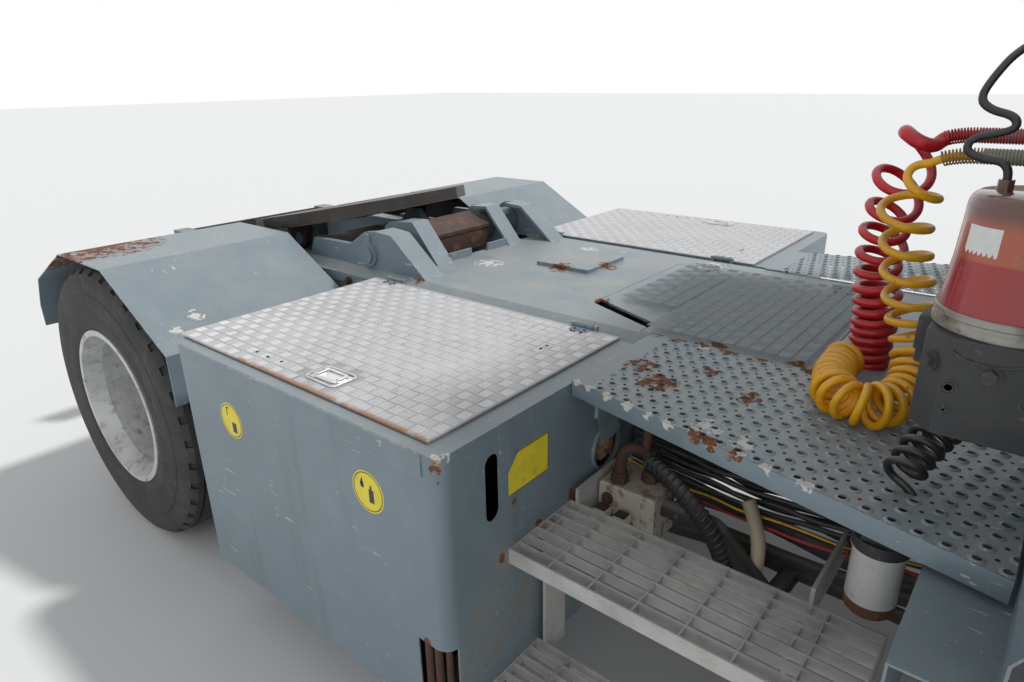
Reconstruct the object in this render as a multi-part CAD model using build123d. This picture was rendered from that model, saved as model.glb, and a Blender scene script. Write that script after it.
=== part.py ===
from build123d import *
import os
from math import sin, cos, tan, radians, hypot, pi

os.makedirs("parts", exist_ok=True)

# Driving sizes, in millimetres. +X is forward, +Y is left, +Z is up, and the ground is z = 0.
WHEELBASE = 3200
REAR_OVERHANG = 950
FRONT_OVERHANG = 1350
WIDTH = 2500
TYRE_R = 525
TYRE_W = 280
REAR_X = REAR_OVERHANG - (WHEELBASE + REAR_OVERHANG + FRONT_OVERHANG) / 2
FRONT_X = REAR_X + WHEELBASE
REAR_END = REAR_X - REAR_OVERHANG
FRONT_END = FRONT_X + FRONT_OVERHANG
AXLE_Z = TYRE_R
HALF_WIDTH = WIDTH / 2
SHEET = 4
PLATE = 8
RUN = 0.05
SOFT = 0.3

# Frame rails
RAIL_OUT = 460
RAIL_FLANGE = 75
RAIL_T = 10
DECK_Z = 985
RAIL_TOP = DECK_Z - 32
RAIL_H = 300
RAIL_BOTTOM = RAIL_TOP - RAIL_H
RAIL_IN = RAIL_OUT - RAIL_FLANGE

# Standard hole pattern of a drawbar coupling, in the rear cross-member
COUPLING_Y = 160
COUPLING_Z = 100
COUPLING_HOLE_R = 10.5
COUPLING_MID_Z = RAIL_BOTTOM + 100

# Deck and its well for the boom
DECK_REAR = REAR_X - 160
CAB_X0 = FRONT_X - 520
DECK_FRONT = CAB_X0 - 20
WELL_FRONT = REAR_X + 735
WELL_HALF = 392
DECK_FOLD_Y = 425
DECK_SKIRT_Y = 470

# Hatch in the deck
HATCH_X1 = CAB_X0 - 490
HATCH_X0 = HATCH_X1 - 700
HATCH_Y0 = -416
HATCH_Y1 = 310
HATCH_CUT = ((HATCH_X0, -234), (HATCH_X0 + 245, -336), (HATCH_X0 + 245, HATCH_Y0))
HATCH_GAP = 3
HATCH_SLOT = 42
HATCH_PIN_Y = HATCH_Y1 + 8
HATCH_PIN_Z = DECK_Z + 9
HATCH_HINGES = (HATCH_X0 + 80, HATCH_X1 - 140)

# Side boxes
BOX_X0 = REAR_X + 716
BOX_X1 = REAR_X + 1764
BOX_Z0 = 257
BOX_Z1 = 974
BOX_IN_Y = 490
BOX_R = 38
BOX_LIP_T = 3
BOX_LIP_H = 52
SLOT_Y = -HALF_WIDTH + 160
PORT_Y = -634
PORT_Z = 731
PORT_R = 60
LID_T = 5
LID_Z = 981
LID_X0 = BOX_X0 - 26
LID_X1 = BOX_X1 - 57
LID_OUT_Y = HALF_WIDTH - 37
LID_IN_Y = 483
LID_PIN_Y = 477
LID_PIN_Z = LID_Z + 6
LID_HINGES = (LID_X0 + 70, LID_X1 - 150)

# Wheels
RIM_R = 298.5
SEAT_R = 285.75
AXLE_TUBE_R = 72
DUAL_OUT_Y = HALF_WIDTH - 186
DUAL_IN_Y = DUAL_OUT_Y - 315
FRONT_Y = HALF_WIDTH - 210
KINGPIN_Y = FRONT_Y - 170
KINGPIN_BOSS_R = 45
DISC_T = 12
HUB_BORE_R = 140.5
SPINDLE_R = 40
HAND_HOLES = 8
HAND_HOLE_R = 20
HAND_HOLE_AT = 229
DUAL_MID_Y = (DUAL_OUT_Y + DUAL_IN_Y) / 2
FRONT_FACE_Y = FRONT_Y + DUAL_OUT_Y - DUAL_MID_Y

# Boom, fifth wheel and lift cylinders
BOOM_X = REAR_X + 583
BOOM_Z = 1039
BOOM_TUBE_R = 60
FIFTH_X = REAR_X + 50
FIFTH_Z = 1020
FIFTH_TILT = 10.7
KINGPIN_R = 25.5
FIFTH_PIN_R = 25
FIFTH_PLATE_TOP = 104
FIFTH_SKIRT = 50
CYL_Y = 322
CYL_BASE_X = REAR_X + 220
CYL_BASE_Z = 360
CYL_EYE_X = REAR_X + 100
CYL_EYE_Z = 900
CYL_R = 50
ROD_R = 30

# Cab and bonnet
CAB_X1 = FRONT_END - 190
CAB_Y0 = -300
CAB_Y1 = HALF_WIDTH - 120
CAB_Z0 = 1110
CAB_Z1 = 2900
CAB_T = 35
CAB_SILL_Z = CAB_Z0 + 640
CAB_HEAD_Z = CAB_Z1 - 120
CAB_NOSE_Z = CAB_Z0 + 540
CAB_RAKE = 220
CAB_R = 60
GLASS_T = 6
DRIVER_Y = (CAB_Y0 + CAB_Y1) / 2
SIDE_DOOR = (CAB_X0 + 75, CAB_X0 + 755, CAB_Z0 + 65, CAB_Z1 - 115)
REAR_DOOR = (470, 1030, CAB_Z0 + 65, CAB_Z1 - 115)
DOOR_PIN_X = CAB_X0 + 757
DOOR_PIN_Y = CAB_Y1 + 13
DOOR_HINGES = (CAB_Z0 + 200, CAB_Z0 + 1250)
BONNET_X0 = CAB_X0
BONNET_X1 = CAB_X1 - 60
BONNET_Y0 = -HALF_WIDTH + 100
BONNET_Y1 = CAB_Y0 - 4
BONNET_Z0 = 1092.2
BONNET_Z1 = 1760

# Exhaust beside the cab, and the lubricator pump behind the bonnet
EXHAUST_X = CAB_X0 + 130
EXHAUST_Y = CAB_Y0 - 95
EXHAUST_R = 75
PUMP_X = CAB_X0 - 118
PUMP_Y = -HALF_WIDTH + 400

# Front mudguards, and the space between the right box and the front one
FENDER_X0 = FRONT_X - 666
FENDER_X1 = FRONT_X + 640
SPACE = FENDER_X0 - BOX_X1
VALVE_Y = (-720, -600)
VALVE_Z = (540, 680)
VALVE_L = 160

# Walkways beside the deck
WALK_IN_Y = 421
WALK_X0 = BOX_X1 + 9
WALK_X1 = CAB_X0 - 35
PAD_X = (WELL_FRONT + HATCH_X0) / 2 + 62.5

# Hoses and cables: the outer diameter of each coil or cable, and the points of its route
RED_COIL = 116
RED_ROUTE = [
    (612, -300, 1528),
    (515, -300, 1528),
    (475, -285, 1385),
    (466, -281, 1240),
    (486, -280, 1120),
    (486, -280, 986),
]
YELLOW_COIL = 90
YELLOW_ROUTE = [
    (640, -430, 1500),
    (545, -430, 1500),
    (528, -428, 1400),
    (546, -426, 1280),
    (580, -430, 1160),
    (612, -480, 1075),
    (612, -585, 1036),
    (565, -656, 1035.5),
    (497, -630, 1035.5),
    (462, -530, 1035.5),
    (462, -430, 1035.5),
]
BLACK_COIL = 70
BLACK_ROUTE = [
    (872, -720, 1112),
    (800, -720, 1112),
    (720, -745, 1100),
    (685, -800, 1065),
    (672, -850, 1030),
]
PUMP_CABLE = 11
PUMP_ROUTE = [
    (715, -850, 1511),
    (715, -850, 1533),
    (676, -850, 1537),
    (658, -849, 1548),
    (664, -846, 1564),
    (694, -840, 1570),
    (712, -837, 1578),
    (706, -834, 1593),
    (676, -830, 1600),
    (660, -826, 1614),
    (668, -815, 1640),
    (690, -790, 1680),
    (750, -740, 1715),
    (812, -650, 1728),
    (872, -650, 1728),
]
GUARD_R = 14


def block(x0, x1, y0, y1, z0, z1):
    centre = ((x0 + x1) / 2, (y0 + y1) / 2, (z0 + z1) / 2)
    return Pos(*centre) * Box(x1 - x0, y1 - y0, z1 - z0)


def side_plate(points, y0, y1):
    """A plate cut to a side-view outline of (x, z) points, from y0 to y1."""
    plane = Plane(origin=(0, y1, 0), x_dir=(1, 0, 0), z_dir=(0, -1, 0))
    return extrude(plane * make_face(Polyline(*points, close=True)), amount=y1 - y0)


def cross_plate(points, x0, x1):
    """A plate cut to a front-view outline of (y, z) points, from x0 to x1."""
    plane = Plane(origin=(x0, 0, 0), x_dir=(0, 1, 0), z_dir=(1, 0, 0))
    return extrude(plane * make_face(Polyline(*points, close=True)), amount=x1 - x0)


def flat_plate(points, z0, z1):
    """A plate cut to a plan outline of (x, y) points, from z0 to z1."""
    plane = Plane(origin=(0, 0, z0))
    return extrude(plane * make_face(Polyline(*points, close=True)), amount=z1 - z0)


def rod_y(x, z, r, y0, y1):
    return Pos(x, (y0 + y1) / 2, z) * Rot(90, 0, 0) * Cylinder(r, abs(y1 - y0))


def rod_x(y, z, r, x0, x1):
    return Pos((x0 + x1) / 2, y, z) * Rot(0, 90, 0) * Cylinder(r, abs(x1 - x0))


def rod_z(x, y, r, z0, z1):
    return Pos(x, y, (z0 + z1) / 2) * Cylinder(r, z1 - z0)


def rod_between(a, b, r):
    a, b = Vector(*a), Vector(*b)
    plane = Plane(origin=a, z_dir=(b - a).normalized())
    return extrude(plane * Circle(r), amount=(b - a).length)


def both_sides(shape):
    return shape + mirror(shape, about=Plane.XZ)


def spun(points, x, z):
    """A ring turned about the wheel axis from (y, radius) points."""
    plane = Plane(origin=(0, 0, 0), x_dir=(0, 1, 0), z_dir=(1, 0, 0))
    ring = revolve(plane * make_face(Polyline(*points, close=True)), axis=Axis.Y)
    return Pos(x, 0, z) * ring


def side_window(x0, x1, z0, z1, radius, y0, y1):
    """A rounded opening cut sideways through the wall between y0 and y1."""
    plane = Plane(origin=((x0 + x1) / 2, y1, (z0 + z1) / 2), x_dir=(1, 0, 0), z_dir=(0, -1, 0))
    return extrude(plane * RectangleRounded(x1 - x0, z1 - z0, radius), amount=y1 - y0)


def end_window(y0, y1, z0, z1, radius, x0, x1):
    """A rounded opening cut lengthways through the wall between x0 and x1."""
    plane = Plane(origin=(x0, (y0 + y1) / 2, (z0 + z1) / 2), x_dir=(0, 1, 0), z_dir=(1, 0, 0))
    return extrude(plane * RectangleRounded(y1 - y0, z1 - z0, radius), amount=x1 - x0)


def round_upright(body, radius, side):
    """Round the two upright edges on one side: side 1 is +y, side -1 is -y."""
    edges = body.edges().filter_by(Axis.Z).sort_by(Axis.Y)
    return fillet(edges[-2:] if side > 0 else edges[:2], radius)


def save(name, shape):
    export_step(shape, f"parts/{name}.step")


def frame():
    """The two frame rails, channels open to the middle, with the seats of the rear axle below them."""
    side = block(REAR_END + 40, FRONT_END - 150, RAIL_IN, RAIL_OUT, RAIL_BOTTOM, RAIL_TOP)
    side -= block(
        REAR_END,
        FRONT_END,
        RAIL_IN - 1,
        RAIL_OUT - RAIL_T,
        RAIL_BOTTOM + RAIL_T,
        RAIL_TOP - RAIL_T,
    )
    side += block(REAR_X - 110, REAR_X + 110, RAIL_IN, RAIL_OUT, AXLE_Z + AXLE_TUBE_R, RAIL_BOTTOM)
    return both_sides(side)


def between_rails(x0, x1):
    """A cross-member's plate, fitted inside the channels of the rails."""
    web = RAIL_OUT - RAIL_T
    return block(x0, x1, -web, web, RAIL_BOTTOM + RAIL_T, RAIL_TOP - RAIL_T)


def rear_cross_member():
    """Cross-member with the lamp boards, out to the fenders, and the holes of a drawbar coupling."""
    body = block(REAR_END, REAR_END + 40, -RAIL_OUT - 300, RAIL_OUT + 300, RAIL_BOTTOM, RAIL_BOTTOM + 200)
    body += between_rails(REAR_END + 39, REAR_END + 60)
    for y in (-COUPLING_Y / 2, COUPLING_Y / 2):
        for z in (-COUPLING_Z / 2, COUPLING_Z / 2):
            body -= rod_x(y, COUPLING_MID_Z + z, COUPLING_HOLE_R, REAR_END - 1, REAR_END + 61)
    return body


def cab_mount(x):
    """A cross tube on the rails, with a rubber mount under each side of the cab."""
    body = block(x, x + 60, -RAIL_OUT, RAIL_OUT, RAIL_TOP, RAIL_TOP + 60)
    for y in (CAB_Y0 + 60, RAIL_IN + 30):
        body += rod_z(x + 30, y, 40, RAIL_TOP + 59, CAB_Z0)
    return body


def cylinder_hanger():
    """The plates and pin that carry one lift cylinder's lower end, under the +y rail."""
    far = 2 * CYL_Y - RAIL_IN
    outer = [
        (CYL_BASE_X - 50, CYL_BASE_Z - 55),
        (CYL_BASE_X + 60, CYL_BASE_Z - 55),
        (CYL_BASE_X + 160, RAIL_BOTTOM),
        (CYL_BASE_X + 20, RAIL_BOTTOM),
    ]
    inner = [
        (CYL_BASE_X - 50, CYL_BASE_Z - 55),
        (CYL_BASE_X + 60, CYL_BASE_Z - 55),
        (CYL_BASE_X + 160, RAIL_BOTTOM - 60),
        (CYL_BASE_X + 120, RAIL_BOTTOM - 60),
    ]
    body = side_plate(outer, RAIL_IN, RAIL_IN + 16) + side_plate(inner, far - 16, far)
    foot_z = RAIL_BOTTOM - 90
    body += block(CYL_BASE_X + 110, CYL_BASE_X + 125, far - 16, RAIL_IN + 16, foot_z, foot_z + 28)
    return body + rod_y(CYL_BASE_X, CYL_BASE_Z, 22, far - 16, RAIL_IN + 16)


def cross_members():
    """What is welded between, on and under the rails. Each piece is a solid of its own."""
    well_wall = between_rails(WELL_FRONT, WELL_FRONT + 12)
    well_wall += block(
        WELL_FRONT,
        WELL_FRONT + 12,
        -RAIL_IN,
        RAIL_IN,
        RAIL_TOP - RAIL_T - 1,
        DECK_Z - PLATE,
    )
    middle = between_rails(HATCH_X0 - 50, HATCH_X0 - 38)
    # The propeller shaft runs through these two
    shaft_way = block(WELL_FRONT - 1, HATCH_X0, -110, 110, RAIL_BOTTOM - 1, RAIL_TOP - 90)
    pieces = [
        rear_cross_member(),
        well_wall - shaft_way,
        middle - shaft_way,
        between_rails(FRONT_END - 230, FRONT_END - 210),
        cab_mount(CAB_X0 + 20),
        cab_mount(CAB_X1 - 260),
        both_sides(cylinder_hanger()),
    ]
    # Outriggers that carry the boxes
    for x in (BOX_X0 + 120, BOX_X1 - 140):
        pieces.append(both_sides(block(x, x + 60, RAIL_OUT, BOX_IN_Y - 0.5, RAIL_BOTTOM + 20, RAIL_TOP - 40)))
    return sum(pieces[1:], pieces[0])


def hatch_outline(gap, slot):
    """The hatch's plan outline, grown by the gap, and by the slot along its cut corner."""
    (xa, ya), (xb, yb), (xc, yc) = HATCH_CUT
    return [
        (HATCH_X0 - gap, HATCH_Y1 + gap),
        (xa - gap, ya - slot),
        (xb - gap, yb - slot),
        (xc - gap, yc - gap),
        (HATCH_X1 + gap, HATCH_Y0 - gap),
        (HATCH_X1 + gap, HATCH_Y1 + gap),
    ]


def deck():
    top = block(DECK_REAR, DECK_FRONT, -DECK_FOLD_Y, DECK_FOLD_Y, DECK_Z - PLATE, DECK_Z)
    fold = cross_plate(
        [
            (DECK_FOLD_Y, DECK_Z),
            (DECK_SKIRT_Y, DECK_Z - 26),
            (DECK_SKIRT_Y, DECK_Z - 60),
            (RAIL_OUT + 0.2, DECK_Z - 60),
            (RAIL_OUT + 0.2, DECK_Z - 29),
            (DECK_FOLD_Y, DECK_Z - PLATE),
        ],
        DECK_REAR,
        DECK_FRONT,
    )
    body = top + both_sides(fold)
    body -= block(DECK_REAR - 1, WELL_FRONT, -WELL_HALF, WELL_HALF, DECK_Z - 100, DECK_Z + 1)
    body -= flat_plate(hatch_outline(HATCH_GAP, HATCH_SLOT), DECK_Z - 100, DECK_Z + 1)
    # The ledge that the hatch lies on, under its far and front edges
    body += block(HATCH_X0 - 20, HATCH_X1 + 20, HATCH_Y1 - 25, HATCH_Y1 + 10, DECK_Z - 13, DECK_Z - PLATE)
    body += block(HATCH_X1 - 20, HATCH_X1 + 20, HATCH_Y0 + 4, HATCH_Y1 + 10, DECK_Z - 13, DECK_Z - PLATE)
    for x in HATCH_HINGES:
        body += hinge_pin(x, HATCH_PIN_Y, HATCH_PIN_Z, 10)
    return body + deck_block()


def deck_hatch():
    leaf = flat_plate(hatch_outline(0, 0), DECK_Z - PLATE + 0.2, DECK_Z + 0.2)
    for x in HATCH_HINGES:
        leaf += hinge_knuckle(x, HATCH_PIN_Y, HATCH_PIN_Z, 1)
    return leaf


def hinge_knuckle(x, y, z, side):
    """A hinge's turning half: a barrel round the pin, with a leaf towards -y (side 1) or +y (side -1)."""
    body = rod_x(y, z, 8, x, x + 60)
    body += block(x, x + 60, min(y, y - side * 42), max(y, y - side * 42), z - 9, z - 4)
    return body - rod_x(y, z, 4 + RUN, x - 1, x + 61)


def hinge_pin(x, y, z, foot):
    """A hinge's fixed half: the pin, held by a lug at each end that reaches foot below it."""
    body = rod_x(y, z, 4, x - 14, x + 74)
    for x0 in (x - 14, x + 62):
        body += block(x0, x0 + 12, y - 6, y + 6.8, z - foot, z + 6)
    return body


def deck_block():
    """The square pad welded to the deck."""
    return block(PAD_X - 115, PAD_X + 115, -10, 240, DECK_Z - 1, DECK_Z + 14)


def box_shell():
    """The right-hand box as a welded sheet shell, open at the top."""
    face_y = -HALF_WIDTH + BOX_LIP_T
    outer = block(BOX_X0, BOX_X1, face_y, -BOX_IN_Y, BOX_Z0, BOX_Z1)
    outer = round_upright(outer, BOX_R, -1)
    t = SHEET
    inner = block(BOX_X0 + t, BOX_X1 - t, face_y + t, -BOX_IN_Y - t, BOX_Z0 + t, BOX_Z1 + 10)
    inner = round_upright(inner, BOX_R - t, -1)
    shell = outer - inner
    # The rim that the lid lies on
    rim = block(BOX_X0 + 1, BOX_X1 - 1, face_y + 1, -BOX_IN_Y - 1, BOX_Z1 - SHEET, BOX_Z1)
    rim = round_upright(rim, BOX_R - 1, -1)
    rim -= block(BOX_X0 + 50, BOX_X1 - 110, face_y + 70, -BOX_IN_Y - 40, BOX_Z0, BOX_Z1 + 10)
    body = shell + rim
    # The folded lip that laps over the outer face
    body += block(BOX_X0 + 60, BOX_X1 - 44, -HALF_WIDTH, face_y + 1, BOX_Z1 - BOX_LIP_H, BOX_Z1 - 1)
    # Hinge lugs welded to the inner wall
    for x in LID_HINGES:
        body += hinge_pin(x, -LID_PIN_Y, LID_PIN_Z, 37)
        for x0 in (x - 14, x + 62):
            body += block(x0, x0 + 12, -BOX_IN_Y - 1, -LID_PIN_Y - 5, LID_PIN_Z - 37, LID_PIN_Z - 17)
    return body


def box_right():
    """The right box's front wall has a slot, a ringed port and a cut-out round its lower corner."""
    body = box_shell()
    wall0 = BOX_X1 - SHEET - 2
    body -= end_window(SLOT_Y - 22.5, SLOT_Y + 22.5, 750, 915, 22.4, wall0, BOX_X1 + 10)
    ring = rod_x(PORT_Y, PORT_Z, PORT_R + 7, BOX_X1 - 1, BOX_X1 + 8)
    body += ring - rod_x(PORT_Y, PORT_Z, PORT_R, BOX_X1 - 2, BOX_X1 + 9)
    body -= rod_x(PORT_Y, PORT_Z, PORT_R, wall0, BOX_X1 + 1)
    body -= block(BOX_X1 - 94, BOX_X1 + 1, -HALF_WIDTH - 1, -HALF_WIDTH + 36, 300, 487)
    return body


def lid():
    body = block(LID_X0, LID_X1, -LID_OUT_Y, -LID_IN_Y, LID_Z - LID_T, LID_Z)
    # Stiffening strips that rest on the box's rim
    body += block(LID_X0 + 60, LID_X1 - 10, -LID_OUT_Y + 10, -LID_OUT_Y + 50, BOX_Z1 + 0.1, LID_Z - LID_T)
    body += block(LID_X0 + 60, LID_X1 - 10, -530, -BOX_IN_Y - 6, BOX_Z1 + 0.1, LID_Z - LID_T)
    for x in LID_HINGES:
        body += hinge_knuckle(x, -LID_PIN_Y, LID_PIN_Z, 1)
    return body


def fender_rear():
    """The folded fender over the right rear wheels."""
    outline = [
        (REAR_X + 553, 700),
        (REAR_X + 553, 870),
        (REAR_X + 178, 1084),
        (REAR_X - 178, 1084),
        (REAR_X - 480, 941),
        (REAR_X - 538, 821),
        (REAR_X - 538, 736),
    ]
    solid = side_plate(outline, -HALF_WIDTH + 42, -500)
    cut = side_plate(inset(outline, SHEET), -HALF_WIDTH - 50, -400)
    stays = block(REAR_X + 519, REAR_X + 549, -HALF_WIDTH + 100, -RAIL_OUT, 800, 830)
    stays += block(REAR_X - 534, REAR_X - 504, -HALF_WIDTH + 100, -RAIL_OUT, 775, 805)
    return solid - cut + stays


def inset(outline, t):
    """The inner side of a folded sheet: each run moved in by t, closed below the ends."""
    moved = []
    lines = []
    for (x0, z0), (x1, z1) in zip(outline, outline[1:]):
        length = hypot(x1 - x0, z1 - z0)
        nx, nz = (z1 - z0) / length, -(x1 - x0) / length
        if nx * (REAR_X - x0) + nz * (AXLE_Z - z0) < 0:
            nx, nz = -nx, -nz
        lines.append(((x0 + nx * t, z0 + nz * t), (x1 + nx * t, z1 + nz * t)))
    moved.append((lines[0][0][0], lines[0][0][1] - 40))
    for (a, b), (c, d) in zip(lines, lines[1:]):
        moved.append(crossing(a, b, c, d))
    moved.append((lines[-1][1][0], lines[-1][1][1] - 40))
    return moved


def crossing(a, b, c, d):
    (x1, y1), (x2, y2), (x3, y3), (x4, y4) = a, b, c, d
    den = (x1 - x2) * (y3 - y4) - (y1 - y2) * (x3 - x4)
    p = x1 * y2 - y1 * x2
    q = x3 * y4 - y3 * x4
    return ((p * (x3 - x4) - (x1 - x2) * q) / den, (p * (y3 - y4) - (y1 - y2) * q) / den)


def tyre(y, x):
    h = TYRE_W / 2
    bead = h - 12
    half = [
        (bead, SEAT_R + SOFT),
        (bead, RIM_R + 2),
        (h - 4, RIM_R + 24),
        (h, RIM_R + 95),
        (h - 6, RIM_R + 165),
        (h - 16, TYRE_R - 22),
        (h - 34, TYRE_R - 3),
        (h - 60, TYRE_R),
    ]
    inside = [
        (h - 50, TYRE_R - 34),
        (h - 20, RIM_R + 90),
        (bead - 18, SEAT_R + SOFT),
    ]
    profile = [(y + a, r) for a, r in half]
    profile += [(y - a, r) for a, r in reversed(half)]
    profile += [(y - a, r) for a, r in reversed(inside)]
    profile += [(y + a, r) for a, r in inside]
    return spun(profile, x, AXLE_Z)


def rim(y, x, mount, out):
    """A steel disc wheel. Its disc's flat face is at y = mount, and it dishes towards out."""
    bead = TYRE_W / 2 - 12 + SOFT
    half = [
        (bead, RIM_R),
        (bead + 6, RIM_R),
        (bead + 6, SEAT_R - 8),
        (bead - 60, SEAT_R - 26),
    ]
    inside = [
        (bead - 60, SEAT_R - 16),
        (bead, SEAT_R),
    ]
    barrel = [(y + a, r) for a, r in half]
    barrel += [(y - a, r) for a, r in reversed(half)]
    barrel += [(y - a, r) for a, r in reversed(inside)]
    barrel += [(y + a, r) for a, r in inside]
    disc = [
        (mount, HUB_BORE_R),
        (mount, 200),
        (mount + out * 82, SEAT_R - 20),
        (mount + out * 98, SEAT_R - 20),
        (mount + out * DISC_T, 192),
        (mount + out * DISC_T, HUB_BORE_R),
    ]
    wheel = spun(barrel, x, AXLE_Z) + spun(disc, x, AXLE_Z)
    for n in range(HAND_HOLES):
        turn = 2 * pi * (n + 0.5) / HAND_HOLES
        hx = x + HAND_HOLE_AT * cos(turn)
        hz = AXLE_Z + HAND_HOLE_AT * sin(turn)
        wheel -= rod_y(hx, hz, HAND_HOLE_R, min(mount, mount + out * 96), max(mount, mount + out * 96))
    return wheel


def hub(x, flange, y0, y1):
    """Hub and brake drum in one: flange is the y of the face that the wheel bolts to."""
    ring = [
        (y0, SPINDLE_R + RUN),
        (y0, 205),
        (flange - 70, 205),
        (flange - 14, 190),
        (flange, 190),
        (flange, HUB_BORE_R - SOFT),
        (y1 - 60, HUB_BORE_R - SOFT),
        (y1 - 55, 96),
        (y1, 88),
        (y1, 0),
        (y1 - 20, 0),
        (y1 - 20, SPINDLE_R + RUN),
    ]
    return spun(ring, x, AXLE_Z)


def boom():
    tube = rod_y(BOOM_X, BOOM_Z, BOOM_TUBE_R, -388, 388)
    arm = side_plate(
        [
            (BOOM_X + 55, BOOM_Z + 40),
            (BOOM_X + 10, BOOM_Z + 62),
            (BOOM_X - 60, BOOM_Z + 48),
            (BOOM_X - 130, BOOM_Z + 2),
            (FIFTH_X + 120, FIFTH_Z - 45),
            (FIFTH_X - 130, FIFTH_Z - 45),
            (FIFTH_X - 130, FIFTH_Z - 100),
            (CYL_EYE_X - 40, 946),
            (CYL_EYE_X + 60, 946),
            (BOOM_X + 40, BOOM_Z - 70),
        ],
        272,
        372,
    )
    lug = side_plate(
        [
            (CYL_EYE_X - 35, CYL_EYE_Z - 35),
            (CYL_EYE_X + 35, CYL_EYE_Z - 35),
            (CYL_EYE_X + 60, 948),
            (CYL_EYE_X - 60, 948),
        ],
        272,
        290,
    )
    lug_out = side_plate(
        [
            (CYL_EYE_X - 35, CYL_EYE_Z - 35),
            (CYL_EYE_X + 35, CYL_EYE_Z - 35),
            (CYL_EYE_X + 60, 948),
            (CYL_EYE_X - 60, 948),
        ],
        354,
        372,
    )
    body = tube + both_sides(arm + lug + lug_out)
    body += block(FIFTH_X - 130, FIFTH_X + 120, -280, 280, FIFTH_Z - 100, FIFTH_Z - 45)
    hub = [
        (BOOM_X + 84, BOOM_Z - 58),
        (BOOM_X + 84, BOOM_Z + 22),
        (BOOM_X - 20, BOOM_Z + 62),
        (BOOM_X - 58, BOOM_Z + 52),
        (BOOM_X - 76, BOOM_Z + 2),
        (BOOM_X - 300, FIFTH_Z - 60),
        (BOOM_X - 300, FIFTH_Z - 100),
        (BOOM_X - 60, BOOM_Z - 80),
    ]
    body += side_plate(hub, -158, 158)
    hood = [
        (BOOM_X + 90, BOOM_Z + 20),
        (BOOM_X + 90, BOOM_Z + 32),
        (BOOM_X - 20, BOOM_Z + 74),
        (BOOM_X - 64, BOOM_Z + 64),
        (BOOM_X - 64, BOOM_Z + 50),
        (BOOM_X - 20, BOOM_Z + 60),
    ]
    body += side_plate(hood, -166, 166)
    # Feet of the fifth wheel
    foot = side_plate(
        [
            (FIFTH_X - 90, FIFTH_Z - 46),
            (FIFTH_X + 90, FIFTH_Z - 46),
            (FIFTH_X + 30, FIFTH_Z + 30),
            (FIFTH_X - 30, FIFTH_Z + 30),
        ],
        290,
        330,
    )
    body += both_sides(foot + rod_y(FIFTH_X, FIFTH_Z, FIFTH_PIN_R, 290, 366))
    return body


def brackets():
    """The welded brackets that carry the boom's cross tube: an outer and an inner plate a side."""
    outer_line = [
        (REAR_X + 201, DECK_Z),
        (REAR_X + 239, 1058),
        (REAR_X + 466, 1062),
        (REAR_X + 560, 1118),
        (REAR_X + 621, 1128),
        (REAR_X + 710, 1122),
        (REAR_X + 878, DECK_Z),
    ]
    outer = side_plate(outer_line, 396, 420)
    inner_line = [
        (REAR_X + 484, 1000),
        (REAR_X + 482, 1100),
        (REAR_X + 504, 1120),
        (REAR_X + 560, 1131),
        (REAR_X + 645, 1137),
        (REAR_X + 774, DECK_Z),
        (WELL_FRONT - 0.2, DECK_Z),
        (WELL_FRONT - 0.2, 780),
        (REAR_X + 660, 780),
        (REAR_X + 520, 930),
    ]
    inner = side_plate(inner_line, 238, 254)
    body = outer + inner
    # Sloping covers welded over the plates' front edges
    body += cover([(REAR_X + 621, 1128), (REAR_X + 710, 1122), (REAR_X + 878, DECK_Z)], 330, 396)
    body += cover([(REAR_X + 560, 1131), (REAR_X + 645, 1137), (REAR_X + 774, DECK_Z)], 172, 238)
    # Stiffener beside the inner cover's foot
    body += block(REAR_X + 752, REAR_X + 762, 50, 172, DECK_Z, DECK_Z + 30)
    body -= rod_y(BOOM_X, BOOM_Z, BOOM_TUBE_R + RUN, 160, 392)
    # Pin boss with its keeper plate on the outer plate
    body += rod_y(BOOM_X, BOOM_Z, 46, 414, 432)
    body += rod_y(BOOM_X, BOOM_Z, 34, 431, 444)
    body += block(BOOM_X - 13, BOOM_X + 13, 419, 432, BOOM_Z + 44, BOOM_Z + 76)
    return both_sides(body)


def cover(line, y0, y1):
    """A bent plate 10 mm thick whose upper face follows the line of (x, z) points."""
    lower = [(x - 4, z - 12) for x, z in line]
    lower[-1] = (line[-1][0] - 14, line[-1][1])
    return side_plate(line + lower[::-1], y0, y1)


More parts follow.
